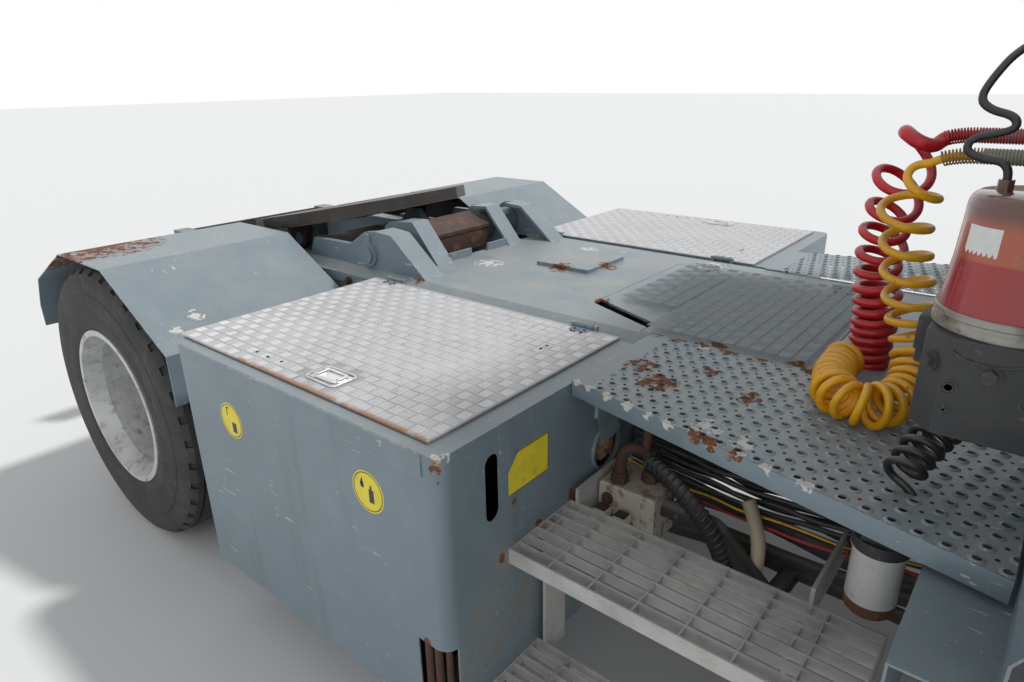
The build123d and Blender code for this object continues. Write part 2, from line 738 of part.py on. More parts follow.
def fifth_wheel():
    """Cast plate with its skirt, ramps and throat. Built level about its pivot, then tilted to rest."""
    top = FIFTH_PLATE_TOP
    outline = [
        (-395, -270),
        (-260, -400),
        (-120, -445),
        (150, -445),
        (290, -390),
        (439, -183),
        (439, 183),
        (290, 390),
        (150, 445),
        (-120, 445),
        (-260, 400),
        (-395, 270),
        (-395, 62),
        (-130, KINGPIN_R),
        (0, KINGPIN_R),
        (0, -KINGPIN_R),
        (-130, -KINGPIN_R),
        (-395, -62),
    ]
    plate = flat_plate(outline, top - 16, top)
    # The skirt under the edge, deeper at the front
    low = top - FIFTH_SKIRT
    skirt = flat_plate(outline, low, top - 15)
    hollow = [(x * 0.93 - 4, y * 0.945) for x, y in outline[:12]]
    skirt -= flat_plate(hollow, low - 1, top - 16)
    plate += skirt
    # Ribs along the throat, and the housing of the lock in front of it
    plate += both_sides(block(-380, 60, 66, 84, low, top - 15))
    plate += block(-40, 90, -84, 84, top - 66, top - 15)
    plate += both_sides(block(-110, 110, 300, 318, low, top - 15))
    plate -= block(-400, 0, -KINGPIN_R, KINGPIN_R, top - 70, top + 1)
    # The rear ramps slope down from the plate's top
    ramp = side_plate([(-396, top - 36), (-396, top + 1), (-250, top + 1)], -460, 460)
    plate -= ramp
    plate -= Pos(0, 0, top - 30) * Cylinder(KINGPIN_R, 80)
    hub = rod_y(0, 0, 44, 336, 366)
    ear = side_plate([(-100, top - 15), (-42, -14), (42, -14), (100, top - 15)], 336, 366)
    bore = rod_y(0, 0, FIFTH_PIN_R + RUN, 330, 370)
    body = plate + both_sides(hub + ear - bore)
    return Pos(FIFTH_X, 0, FIFTH_Z) * Rot(0, -FIFTH_TILT, 0) * body


def cylinder_axis(t):
    """A point t millimetres up the cylinder from its lower pin, in (x, z)."""
    length = hypot(CYL_EYE_X - CYL_BASE_X, CYL_EYE_Z - CYL_BASE_Z)
    return (
        CYL_BASE_X + (CYL_EYE_X - CYL_BASE_X) * t / length,
        CYL_BASE_Z + (CYL_EYE_Z - CYL_BASE_Z) * t / length,
    )


def lift_barrels():
    length = hypot(CYL_EYE_X - CYL_BASE_X, CYL_EYE_Z - CYL_BASE_Z)
    top = length - 60
    x0, z0 = cylinder_axis(30)
    x1, z1 = cylinder_axis(top)
    barrel = rod_between((x0, CYL_Y, z0), (x1, CYL_Y, z1), CYL_R)
    bore0 = cylinder_axis(70)
    bore = rod_between((bore0[0], CYL_Y, bore0[1]), (x1, CYL_Y, z1), ROD_R + 8)
    x2, z2 = cylinder_axis(top - 30)
    gland = rod_between((x2, CYL_Y, z2), (x1, CYL_Y, z1), CYL_R)
    x3, z3 = cylinder_axis(top + 2)
    hole = rod_between((x2, CYL_Y, z2), (x3, CYL_Y, z3), ROD_R + RUN)
    eye = rod_y(CYL_BASE_X, CYL_BASE_Z, 42, CYL_Y - 40, CYL_Y + 40)
    pin = rod_y(CYL_BASE_X, CYL_BASE_Z, 22 + RUN, CYL_Y - 60, CYL_Y + 60)
    body = (barrel - bore) + (gland - hole) + eye - pin
    return both_sides(body)


def lift_rods():
    length = hypot(CYL_EYE_X - CYL_BASE_X, CYL_EYE_Z - CYL_BASE_Z)
    x0, z0 = cylinder_axis(90)
    x1, z1 = cylinder_axis(length - 10)
    rod = rod_between((x0, CYL_Y, z0), (x1, CYL_Y, z1), ROD_R)
    x2, z2 = cylinder_axis(110)
    piston = rod_between((x0, CYL_Y, z0), (x2, CYL_Y, z2), ROD_R + 8 - RUN)
    eye = rod_y(CYL_EYE_X, CYL_EYE_Z, 29, CYL_Y - 27, CYL_Y + 27)
    return both_sides(rod + piston + eye)


def rear_axle():
    tube = rod_y(REAR_X, AXLE_Z, AXLE_TUBE_R - 0.2, -DUAL_MID_Y + 266, DUAL_MID_Y - 266)
    housing = Pos(REAR_X, 0, AXLE_Z) * Sphere(180)
    nose = rod_x(0, AXLE_Z + 10, 70, REAR_X + 100, REAR_X + 330)
    spindle = rod_y(REAR_X, AXLE_Z, SPINDLE_R, -DUAL_MID_Y - 40, DUAL_MID_Y + 40)
    return tube + housing + nose + spindle


def front_axle():
    half = KINGPIN_Y - 80
    beam = block(FRONT_X - 45, FRONT_X + 45, -half, half, 430, 520)
    for x0, x1 in ((FRONT_X + 15, FRONT_X + 60), (FRONT_X - 60, FRONT_X - 15)):
        beam -= both_sides(block(x0, x1, -half + 90, half - 90, 452, 498))
    end = block(FRONT_X - 45, FRONT_X + 45, half - 10, KINGPIN_Y, 471, 579)
    end += rod_z(FRONT_X, KINGPIN_Y, KINGPIN_BOSS_R, 471, 579)
    end -= rod_z(FRONT_X, KINGPIN_Y, 22 + RUN, 400, 600)
    return beam + both_sides(end)


def front_springs():
    side = Part()
    for n, half in enumerate((620, 470, 320)):
        z = 600 - n * 16
        side += block(FRONT_X - half, FRONT_X + half, RAIL_IN, RAIL_IN + 75, z - 16, z)
    side += block(FRONT_X - 60, FRONT_X + 60, RAIL_IN, RAIL_IN + 75, 520.3, 552)
    for x in (FRONT_X - 600, FRONT_X + 600):
        side += block(x - 25, x + 25, RAIL_IN, RAIL_IN + 75, 599, RAIL_BOTTOM)
    return both_sides(side)


def knuckle(sign):
    """Steering knuckle: two plates round the axle's end, a web between them and the wheel's spindle."""
    y = KINGPIN_Y
    body = rod_z(FRONT_X, y, 22, 425, 625)
    for z0, z1 in ((425, 466), (584, 625)):
        body += block(FRONT_X - 40, FRONT_X + 40, y, y + 85, z0, z1)
        body += rod_z(FRONT_X, y, 40, z0, z1)
    body += block(FRONT_X - 40, FRONT_X + 40, y + 55, y + 90, 425, 625)
    body += rod_y(FRONT_X, AXLE_Z, SPINDLE_R, y + 85, FRONT_FACE_Y)
    if sign < 0:
        body = mirror(body, about=Plane.XZ)
    return body


def cab_outline(t):
    return [
        (CAB_X0 + t, CAB_Z0 + t),
        (CAB_X1 - 40 - t, CAB_Z0 + t),
        (CAB_X1 - t, CAB_NOSE_Z),
        (CAB_X1 - CAB_RAKE - t, CAB_Z1 - t),
        (CAB_X0 + t, CAB_Z1 - t),
    ]


def cab_body(t, radius):
    """The cab's block, inset by t, with its long upright edges rounded."""
    body = side_plate(cab_outline(t), CAB_Y0 + t, CAB_Y1 - t)
    upright = [e for e in body.edges() if e.length > 400 and abs((e % 0.5).Z) > 0.9]
    return fillet(upright, radius)


def screen_plane(z):
    """A plane on the raked windscreen at height z: x to the left, z out of the glass."""
    lean = (z - CAB_NOSE_Z) / (CAB_Z1 - CAB_NOSE_Z)
    up = Vector(-CAB_RAKE, 0, CAB_Z1 - CAB_NOSE_Z).normalized()
    out = Vector(0, 1, 0).cross(up)
    return Plane(origin=(CAB_X1 - CAB_RAKE * lean, DRIVER_Y, z), x_dir=(0, 1, 0), z_dir=out)


def windscreen(depth0, depth1):
    """The windscreen's rounded outline, from depth0 to depth1 below the cab's face."""
    plane = screen_plane((CAB_NOSE_Z + CAB_HEAD_Z + 30) / 2)
    outline = RectangleRounded(CAB_Y1 - CAB_Y0 - 170, CAB_HEAD_Z - CAB_NOSE_Z - 60, 50)
    pane = extrude(plane * outline, amount=depth1 - depth0)
    return Pos(*(plane.z_dir * -depth1)) * pane


def quarter_window(y0, y1):
    """The side window ahead of the door, with its front edge along the raked pillar."""
    points = [
        (SIDE_DOOR[1] + 70, CAB_SILL_Z),
        (CAB_X1 - 110, CAB_SILL_Z),
        (CAB_X1 - 300, CAB_HEAD_Z),
        (SIDE_DOOR[1] + 70, CAB_HEAD_Z),
    ]
    body = side_plate(points, y0, y1)
    return fillet([e for e in body.edges() if abs((e % 0.5).Y) > 0.9], 40)


def right_window(y0, y1):
    return side_window(CAB_X0 + 250, SIDE_DOOR[1], BONNET_Z1 + 80, CAB_HEAD_Z, 40, y0, y1)


def rear_window(x0, x1):
    return end_window(CAB_Y0 + 80, REAR_DOOR[0] - 70, CAB_SILL_Z + 100, CAB_HEAD_Z, 40, x0, x1)


def cab_shell():
    body = cab_body(0, CAB_R) - cab_body(CAB_T, CAB_R - CAB_T)
    # Door openings, left and rear
    x0, x1, z0, z1 = SIDE_DOOR
    body -= side_window(x0, x1, z0, z1, 45, CAB_Y1 - 60, CAB_Y1 + 10)
    y0, y1, z2, z3 = REAR_DOOR
    body -= end_window(y0, y1, z2, z3, 45, CAB_X0 - 10, CAB_X0 + 60)
    # Windows
    body -= quarter_window(CAB_Y1 - 60, CAB_Y1 + 10)
    body -= quarter_window(CAB_Y0 - 10, CAB_Y0 + 60)
    body -= right_window(CAB_Y0 - 10, CAB_Y0 + 60)
    body -= rear_window(CAB_X0 - 10, CAB_X0 + 60)
    body -= windscreen(-20, 60)
    # Runner and lower guide of the rear sliding door
    rail = block(CAB_X0 - 56, CAB_X0 + 1, CAB_Y0 + 65, CAB_Y1 - 62, CAB_Z1 - 92, CAB_Z1 - 60)
    rail -= block(CAB_X0 - 50, CAB_X0 - 6, CAB_Y0, CAB_Y1, CAB_Z1 - 93, CAB_Z1 - 66)
    rail += block(CAB_X0 - 50, CAB_X0 + 1, CAB_Y0 + 65, CAB_Y1 - 62, CAB_Z0 + 20, CAB_Z0 + 44)
    body += rail
    body += door_pins()
    # Grab handles beside the side door and on the rear wall
    body += grab_handle(SIDE_DOOR[0] - 40, CAB_Y1 + 50, 0, -1)
    return body


def grab_handle(x, y, towards_x, towards_y):
    """An upright round bar with two stand-offs into the cab's wall."""
    z0 = CAB_Z0 + 300
    body = rod_z(x, y, 12, z0, z0 + 600)
    for z in (z0 + 20, z0 + 580):
        body += rod_between((x, y, z), (x + 72 * towards_x, y + 72 * towards_y, z), 9)
    return body


def cab_roof():
    body = block(CAB_X0 - 40, CAB_X1 - 150, CAB_Y0 - 20, CAB_Y1 + 20, CAB_Z1 + 0.3, CAB_Z1 + 90)
    body = fillet(body.edges().filter_by(Axis.Z), 70)
    body = chamfer(body.faces().sort_by(Axis.Z)[-1].edges(), 30)
    # Brackets of the work lamps at the rear edge
    for y in (CAB_Y0 + 180, CAB_Y1 - 180):
        body += block(CAB_X0 + 6, CAB_X0 + 36, y - 15, y + 15, CAB_Z1 + 60, CAB_Z1 + 120)
    return body


def side_door_pane(y0, y1):
    x0, x1, z0, z1 = SIDE_DOOR
    return side_window(x0 + 64, x1 - 64, CAB_SILL_Z, z1 - 64, 40, y0, y1)


def rear_door_pane(x0, x1):
    y0, y1, z0, z1 = REAR_DOOR
    return end_window(y0 + 60, y1 - 60, CAB_SILL_Z, z1 - 60, 40, x0, x1)


def door_left():
    x0, x1, z0, z1 = SIDE_DOOR
    body = side_window(x0 + 6, x1 - 6, z0 + 6, z1 - 6, 41, CAB_Y1 - 32, CAB_Y1)
    body -= side_door_pane(CAB_Y1 - 60, CAB_Y1 + 10)
    # Pressed panel below the glass, and the outside handle
    body -= side_window(x0 + 70, x1 - 70, z0 + 80, CAB_SILL_Z - 90, 40, CAB_Y1 - 5, CAB_Y1 + 10)
    body += block(x0 + 40, x0 + 130, CAB_Y1 - 6, CAB_Y1 + 22, CAB_SILL_Z - 62, CAB_SILL_Z - 34)
    for z in DOOR_HINGES:
        body += rod_z(DOOR_PIN_X, DOOR_PIN_Y, 11, z, z + 80)
        body += block(DOOR_PIN_X - 60, DOOR_PIN_X, CAB_Y1 + 2, CAB_Y1 + 9, z, z + 80)
        body += block(DOOR_PIN_X - 60, DOOR_PIN_X - 12, CAB_Y1 - 2, CAB_Y1 + 3, z, z + 80)
        body -= rod_z(DOOR_PIN_X, DOOR_PIN_Y, 5 + RUN, z - 1, z + 81)
    return body


def door_pins():
    """The fixed halves of the side door's hinges, on the cab's door post."""
    body = Part()
    for z in DOOR_HINGES:
        body += rod_z(DOOR_PIN_X, DOOR_PIN_Y, 5, z - 18, z + 98)
        for z0 in (z - 18, z + 82):
            body += block(DOOR_PIN_X - 4, DOOR_PIN_X + 40, CAB_Y1 - 1, DOOR_PIN_Y + 8, z0, z0 + 16)
    return body


def door_rear():
    y0, y1, z0, z1 = REAR_DOOR
    body = block(CAB_X0 - 44, CAB_X0 - 8, y0 - 20, y1 + 20, CAB_Z0 + 44.1, CAB_Z1 - 100)
    body -= rear_door_pane(CAB_X0 - 60, CAB_X0)
    body -= end_window(y0 + 60, y1 - 60, z0 + 80, CAB_SILL_Z - 90, 40, CAB_X0 - 50, CAB_X0 - 39)
    # Handle near the edge that closes
    body += block(CAB_X0 - 62, CAB_X0 - 43, y1 - 30, y1 - 10, CAB_SILL_Z - 160, CAB_SILL_Z + 20)
    # Rollers in the runner
    for y in (y0 + 40, y1 - 80):
        body += block(CAB_X0 - 34, CAB_X0 - 22, y, y + 40, CAB_Z1 - 101, CAB_Z1 - 80)
        body += rod_x(y + 20, CAB_Z1 - 82, 15.9, CAB_X0 - 38, CAB_X0 - 18)
    return body


def bonnet_block(t):
    """The bonnet's block, inset by t and open below, with its outer edges rounded."""
    z0 = BONNET_Z0 - (1 if t else 0)
    points = [
        (BONNET_X0 + t, z0),
        (BONNET_X1 - t, z0),
        (BONNET_X1 - t, BONNET_Z1 - 200),
        (BONNET_X1 - 110 - t, BONNET_Z1 - 60 - t),
        (BONNET_X0 + t, BONNET_Z1 - t),
    ]
    y0 = BONNET_Y0 + t
    body = side_plate(points, y0, BONNET_Y1 - t)
    outer = [e for e in body.edges() if e.center().Y < y0 + 1 and e.center().Z > BONNET_Z1 - 170]
    return fillet(outer, 40 - t)


def bonnet():
    """The sheet bonnet over the right front wheel, with a grille in its nose and side louvres."""
    body = bonnet_block(0) - bonnet_block(SHEET)
    # The exhaust comes up through its top
    body -= rod_z(EXHAUST_X, EXHAUST_Y, EXHAUST_R + 5, BONNET_Z1 - 60, BONNET_Z1 + 10)
    for n in range(9):
        z = BONNET_Z0 + 90 + n * 38
        body -= block(BONNET_X1 - 20, BONNET_X1 + 5, BONNET_Y0 + 90, BONNET_Y1 - 90, z, z + 20)
    for n in range(8):
        x = BONNET_X0 + 980 + n * 55
        body -= block(x, x + 22, BONNET_Y0 - 5, BONNET_Y0 + 20, BONNET_Z0 + 240, BONNET_Z0 + 480)
    # Glands of the cables that enter its rear wall
    for x, y, z, r in ((*BLACK_ROUTE[0], 28), (*PUMP_ROUTE[-1], 13)):
        body += rod_x(y, z, r, x, BONNET_X0 + 1)
    return body


def front_fenders():
    x0 = FENDER_X0
    x1 = FENDER_X1
    outline = [
        (x0, 640),
        (x0, DECK_Z - 50),
        (x0 + 118, DECK_Z - 50),
        (x0 + 118, DECK_Z + 20),
        (x0 + 165, 1092),
        (x1 - 60, 1092),
        (x1, 1040),
        (x1, 700),
    ]
    inner = [
        (x0 + SHEET, 600),
        (x0 + SHEET, DECK_Z - 50 - SHEET),
        (x0 + 118 + SHEET, DECK_Z - 50 - SHEET),
        (x0 + 118 + SHEET, DECK_Z + 20),
        (x0 + 167, 1092 - SHEET),
        (x1 - 61, 1092 - SHEET),
        (x1 - SHEET, 1038),
        (x1 - SHEET, 600),
    ]
    side = side_plate(outline, -HALF_WIDTH + 55, -562) - side_plate(inner, -HALF_WIDTH + 50, -550)
    # Arms to the frame
    side += block(x0 + SHEET, x0 + 40, -600, -RAIL_OUT, 860, 900)
    side += block(x1 - 40, x1 - SHEET, -600, -RAIL_OUT, 860, 900)
    return both_sides(side)


def engine():
    return block(FRONT_X - 420, FRONT_X + 560, -370, 330, 575, 1085)


def gearbox():
    return block(FRONT_X - 1000, FRONT_X - 420, -220, 220, 600, 930)


def propshaft():
    front = (FRONT_X - 1012, 0, 720)
    rear = (REAR_X + 342, 0, AXLE_Z + 10)
    body = rod_between(rear, front, 45)
    body += rod_x(0, 720, 70, FRONT_X - 1020, FRONT_X - 1000)
    body += rod_x(0, AXLE_Z + 10, 70, REAR_X + 330, REAR_X + 350)
    return body


def tanks():
    fuel = block(BOX_X0 + 40, BOX_X0 + 520, -HALF_WIDTH + 30, -BOX_IN_Y - 60, BOX_Z0 + SHEET, 780)
    oil = block(BOX_X0 + 560, BOX_X1 - 150, -HALF_WIDTH + 30, -BOX_IN_Y - 60, BOX_Z0 + SHEET, 780)
    return fuel + oil


def batteries():
    body = Part()
    for y in (HALF_WIDTH - 630, HALF_WIDTH - 340):
        body += block(BOX_X0 + 60, BOX_X0 + 570, y, y + 270, BOX_Z0 + SHEET, BOX_Z0 + 240)
    return body


def walkway(outer_rear, outer_front):
    """A sheet walkway on the +y side, whose outer edge flares from rear to front."""
    x0 = WALK_X0
    x1 = WALK_X1
    outline = [(x0, WALK_IN_Y), (x0, outer_rear), (x1, outer_front), (x1, WALK_IN_Y)]
    body = flat_plate(outline, DECK_Z + 1, DECK_Z + 5)
    rim = [(x0, outer_rear), (x1, outer_front), (x1, outer_front - 4), (x0, outer_rear - 4)]
    body += flat_plate(rim, DECK_Z - 36, DECK_Z + 5)
    body += block(x0, x0 + 4, WALK_IN_Y + 60, outer_rear - 2, DECK_Z - 36, DECK_Z + 2)
    for x in (x0 + 60, x1 - 152):
        body += block(x, x + 8, DECK_SKIRT_Y + 0.2, outer_rear - 10, DECK_Z - 80, DECK_Z + 2)
        body += block(x, x + 8, RAIL_OUT, 500, DECK_Z - 140, DECK_Z - 61)
    return body


def grating(x0, x1, y0, y1, z):
    body = block(x0, x1, y0, y0 + 5, z - 40, z) + block(x0, x1, y1 - 5, y1, z - 40, z)
    count = round((y1 - y0) / 35)
    for n in range(1, count):
        y = y0 + n * (y1 - y0) / count
        body += block(x0, x1, y - 1.5, y + 1.5, z - 28, z)
    crossings = round((x1 - x0) / 100)
    for n in range(crossings + 1):
        x = x0 + 2 + n * (x1 - x0 - 4) / crossings
        body += block(x - 2, x + 2, y0, y1, z - 28, z - 1)
    return body


def steps():
    """Two bar gratings on hangers below the right walkway."""
    x0 = BOX_X1
    x1 = FENDER_X0 - 34
    out = -HALF_WIDTH
    body = grating(x0, x1, out + 210, out + 460, 645)
    body += grating(x0, x1 - 20, out + 50, out + 320, 300)
    for x in (x0 + 20, x1 - 146):
        body += block(x, x + 8, out + 450, -RAIL_OUT, 605, 690)
        body += block(x, x + 8, out + 315, out + 400, 262, 640)
    return body


def steering_column():
    base = (CAB_X1 - 420, DRIVER_Y, CAB_Z0 + CAB_T + 12)
    top = (CAB_X1 - 640, DRIVER_Y, CAB_Z0 + 760)
    body = rod_between(base, top, 30)
    foot_z = CAB_Z0 + CAB_T
    body += block(base[0] - 60, base[0] + 60, DRIVER_Y - 60, DRIVER_Y + 60, foot_z, foot_z + 20)
    plane = Plane(origin=top, z_dir=(Vector(*top) - Vector(*base)).normalized())
    body += plane * Torus(210, 14)
    body += plane * Cylinder(52, 40)
    for turn in (0, 120, 240):
        body += plane * Rot(0, 0, turn) * Pos(110, 0, 0) * Box(206, 26, 10)
    return body


def dashboard():
    outline = [
        (CAB_X1 - 400, CAB_Z0 + 380),
        (CAB_X1 - 90, CAB_Z0 + 380),
        (CAB_X1 - 90, CAB_Z0 + 520),
        (CAB_X1 - 300, CAB_Z0 + 600),
        (CAB_X1 - 400, CAB_Z0 + 500),
    ]
    return side_plate(outline, CAB_Y0 + CAB_T, CAB_Y1 - CAB_T)


def seat():
    x = CAB_X0 + 430
    z = CAB_Z0 + CAB_T
    base = block(x - 150, x + 150, DRIVER_Y - 140, DRIVER_Y + 140, z, z + 280)
    cushion = Pos(x, DRIVER_Y, z + 325) * Box(500, 500, 120)
    cushion = fillet(cushion.edges(), 40)
    rest = Pos(x - 245, DRIVER_Y, z + 725) * Rot(0, -8, 0) * Box(120, 480, 720)
    rest = fillet(rest.edges(), 40)
    return base + cushion + rest


def exhaust():
    """Silencer and tail pipe that rise through the bonnet, held to the cab's side wall."""
    body = rod_z(EXHAUST_X, EXHAUST_Y, EXHAUST_R, BONNET_Z1 - 200, BONNET_Z1 + 700)
    body += rod_z(EXHAUST_X, EXHAUST_Y, 45, BONNET_Z1 + 699, BONNET_Z1 + 1130)
    body -= rod_z(EXHAUST_X, EXHAUST_Y, 41, BONNET_Z1 + 720, BONNET_Z1 + 1131)
    for z in (BONNET_Z1 + 60, BONNET_Z1 + 620):
        body += block(EXHAUST_X - 30, EXHAUST_X + 30, EXHAUST_Y + 60, CAB_Y0, z, z + 40)
    return body


def lube_pump():
    """Lubricator on the bonnet's rear wall: moulded base, clamp band and see-through reservoir."""
    base = Pos(PUMP_X, PUMP_Y, 1230) * Box(190, 200, 150)
    body = chamfer(base.edges().filter_by(Axis.Z), 34)
    body += rod_z(PUMP_X, PUMP_Y, 94, 1300, 1330)
    body += rod_z(PUMP_X, PUMP_Y, 101, 1308, 1334)
    profile = [(0, 1330), (97, 1330), (90, 1400), (86, 1486), (78, 1496), (0, 1496)]
    plane = Plane(origin=(0, 0, 0), x_dir=(1, 0, 0), z_dir=(0, -1, 0))
    bowl = revolve(plane * make_face(Polyline(*profile, close=True)), axis=Axis.Z)
    body += Pos(PUMP_X, PUMP_Y, 0) * bowl
    body += rod_z(PUMP_ROUTE[0][0], PUMP_Y, 10, 1490, PUMP_ROUTE[0][2])
    # Bracket to the bonnet's rear wall
    body += block(PUMP_X + 60, BONNET_X0, PUMP_Y - 45, PUMP_Y + 45, 1180, 1285)
    return body


def hose_carrier():
    """Mast behind the cab with the board of the air couplings, and a spring guard round each hose."""
    y = CAB_Y0 - 10
    body = block(CAB_X0 - 60, CAB_X0 - 20, y, y + 40, DECK_Z, 1620)
    body += block(CAB_X0 - 60, CAB_X0 - 20, y, y + 110, 1580, 1620)
    body += block(CAB_X0 - 21, CAB_X0, y + 70, y + 110, 1580, 1620)
    body += block(CAB_X0 - 66, CAB_X0 - 59, -500, y + 60, 1400, 1620)
    for x, route_y, z in (RED_ROUTE[0], YELLOW_ROUTE[0]):
        body += rod_x(route_y, z, GUARD_R, x, CAB_X0 - 62)
        body += rod_x(route_y, z, 24, CAB_X0 - 100, CAB_X0 - 62)
    return body


def bumper():
    """Deep channel bumper with lamp holes and a step cut in its middle."""
    x0 = FRONT_END - 150
    body = block(x0, FRONT_END, -1200, 1200, 480, 860)
    body = fillet([e for e in body.edges().filter_by(Axis.Z) if e.center().X > x0 + 1], 60)
    body -= block(x0 - 1, FRONT_END - 66, -1194, 1194, 486, 854)
    body -= block(x0 - 1, FRONT_END - 6, -1130, 1130, 486, 854)
    body -= both_sides(end_window(700, 940, 640, 780, 30, FRONT_END - 10, FRONT_END + 1))
    body -= end_window(-260, 260, 560, 700, 30, FRONT_END - 10, FRONT_END + 1)
    # Brackets from the rails' ends
    body += both_sides(block(x0, FRONT_END - 5, RAIL_IN, RAIL_OUT, 690, 850))
    return body


def front_panel():
    """Slotted panel that stands on the bumper, between it and the cab."""
    x = FRONT_END - 149
    body = block(x, x + 4, -1140, 1130, 860, 1085)
    for n in range(5):
        z = 885 + n * 38
        body -= both_sides(block(x - 1, x + 5, 120, 560, z, z + 20))
    return body


def lamps_front():
    """Headlamps in the bumper's holes, 0.3 mm clear of their edges."""
    c = SOFT
    head = end_window(700 + c, 940 - c, 640 + c, 780 - c, 30 - c, FRONT_END - 60, FRONT_END - 1)
    return both_sides(head)


def work_lamps():
    """Lamps at the roof's rear edge that light the deck."""
    body = Part()
    for y in (CAB_Y0 + 180, CAB_Y1 - 180):
        lamp = Pos(CAB_X0 + 20, y, CAB_Z1 + 165) * Box(60, 150, 90)
        body += fillet(lamp.edges(), 12)
    return body


def lamps_rear():
    return both_sides(block(REAR_END + 40, REAR_END + 70, 520, 740, 720, 840))


def mirrors():
    """A mirror head on two arms at each front pillar of the cab."""
    x = CAB_X1 - 180
    z = CAB_Z0 + 1130
    body = Part()
    for wall, head_y, width in ((CAB_Y1, HALF_WIDTH - 50, 96), (CAB_Y0, CAB_Y0 - 150, 160)):
        head = Pos(x, head_y, z) * Box(60, width, 380)
        body += fillet(head.edges(), 16)
        for arm_x, arm_z in ((CAB_X1 - 204, z + 160), (CAB_X1 - 158, z - 160)):
            body += rod_y(arm_x, arm_z, 10, min(wall, head_y), max(wall, head_y))
    return body


def beacon():
    x = CAB_X0 + 230
    body = rod_z(x, DRIVER_Y, 62, CAB_Z1 + 90, CAB_Z1 + 112)
    profile = [(0, 111), (52, 111), (50, 190), (34, 222), (0, 228)]
    plane = Plane(origin=(0, 0, 0), x_dir=(1, 0, 0), z_dir=(0, -1, 0))
    dome = revolve(plane * make_face(Polyline(*profile, close=True)), axis=Axis.Z)
    return body + Pos(x, DRIVER_Y, CAB_Z1) * dome


def valve_block():
    """Hydraulic valve block under the right walkway, on an arm to the rail, with two solenoids."""
    x0 = BOX_X1 + 36
    y0, y1 = VALVE_Y
    z0, z1 = VALVE_Z
    body = block(x0, x0 + VALVE_L, y0, y1, z0, z1)
    body = chamfer(body.edges(), 5)
    body += block(x0 + 50, x0 + 100, y1 - 10, -RAIL_OUT, z1 - 30, z1 - 1)
    for x in (x0 + 36, x0 + 92):
        body += rod_y(x, z0 + 46, 17, y0 - 62, y0 + 2)
        body += block(x - 15, x + 15, y0 - 50, y0 - 20, z0 + 60, z0 + 96)
    return body


def spin_filter():
    """Spin-on filter under its head, on an arm to the rail."""
    x = FENDER_X0 - 84
    y = -HALF_WIDTH + 500
    profile = [(0, 660), (40, 660), (47, 668), (47, 800), (44, 806), (0, 806)]
    plane = Plane(origin=(0, 0, 0), x_dir=(1, 0, 0), z_dir=(0, -1, 0))
    can = revolve(plane * make_face(Polyline(*profile, close=True)), axis=Axis.Z)
    body = Pos(x, y, 0) * can
    body += rod_z(x, y, 52, 805, 832)
    body += block(x - 30, x + 30, y - 40, -RAIL_OUT, 831, 860)
    return body


def suction_hose():
    x = BOX_X1 + 36 + VALVE_L
    y = (VALVE_Y[0] + VALVE_Y[1]) / 2
    line = FilletPolyline(
        (x + 0.5, y, 635),
        (x - 20 + 0.2 * SPACE, y, 635),
        (x + 0.36 * SPACE, y + 20, 480),
        (x + 0.37 * SPACE, -RAIL_OUT - 0.3, 470),
        radius=40,
    )
    return sweep(Plane(origin=line @ 0, z_dir=line % 0) * Circle(24), path=line)


def cord_tube(name, points, diameter):
    """A tube of straight runs joined by tangent arcs, each as wide as its runs allow."""
    radii = []
    for a, b, c in zip(points, points[1:], points[2:]):
        before = Vector(*b) - Vector(*a)
        after = Vector(*c) - Vector(*b)
        half_turn = radians(before.get_angle(after)) / 2
        radii.append(0.45 * min(before.length, after.length) / tan(half_turn))
    line = FilletPolyline(*points, radius=radii)
    tube = sweep(Plane(origin=line @ 0, z_dir=line % 0) * Circle(diameter / 2), path=line)
    share = tube.volume / (pi * diameter * diameter / 4 * line.length)
    print(name, "length", round(line.length), "radii", [round(r) for r in radii], "volume", round(share, 4))
    return tube


def hose_red():
    return cord_tube("hose_red", RED_ROUTE, RED_COIL)


def hose_yellow():
    return cord_tube("hose_yellow", YELLOW_ROUTE, YELLOW_COIL)


def cable_black():
    return cord_tube("cable_black", BLACK_ROUTE, BLACK_COIL)


def cable_pump():
    return cord_tube("cable_pump", PUMP_ROUTE, PUMP_CABLE)


def cab_glass():
    half = GLASS_T / 2
    mid = CAB_T / 2
    body = quarter_window(CAB_Y1 - mid - half, CAB_Y1 - mid + half)
    body += quarter_window(CAB_Y0 + mid - half, CAB_Y0 + mid + half)
    body += right_window(CAB_Y0 + mid - half, CAB_Y0 + mid + half)
    body += rear_window(CAB_X0 + mid - half, CAB_X0 + mid + half)
    body += windscreen(mid - half, mid + half)
    return body


def door_left_glass():
    return side_door_pane(CAB_Y1 - 16 - GLASS_T / 2, CAB_Y1 - 16 + GLASS_T / 2)


def door_rear_glass():
    return rear_door_pane(CAB_X0 - 26 - GLASS_T / 2, CAB_X0 - 26 + GLASS_T / 2)


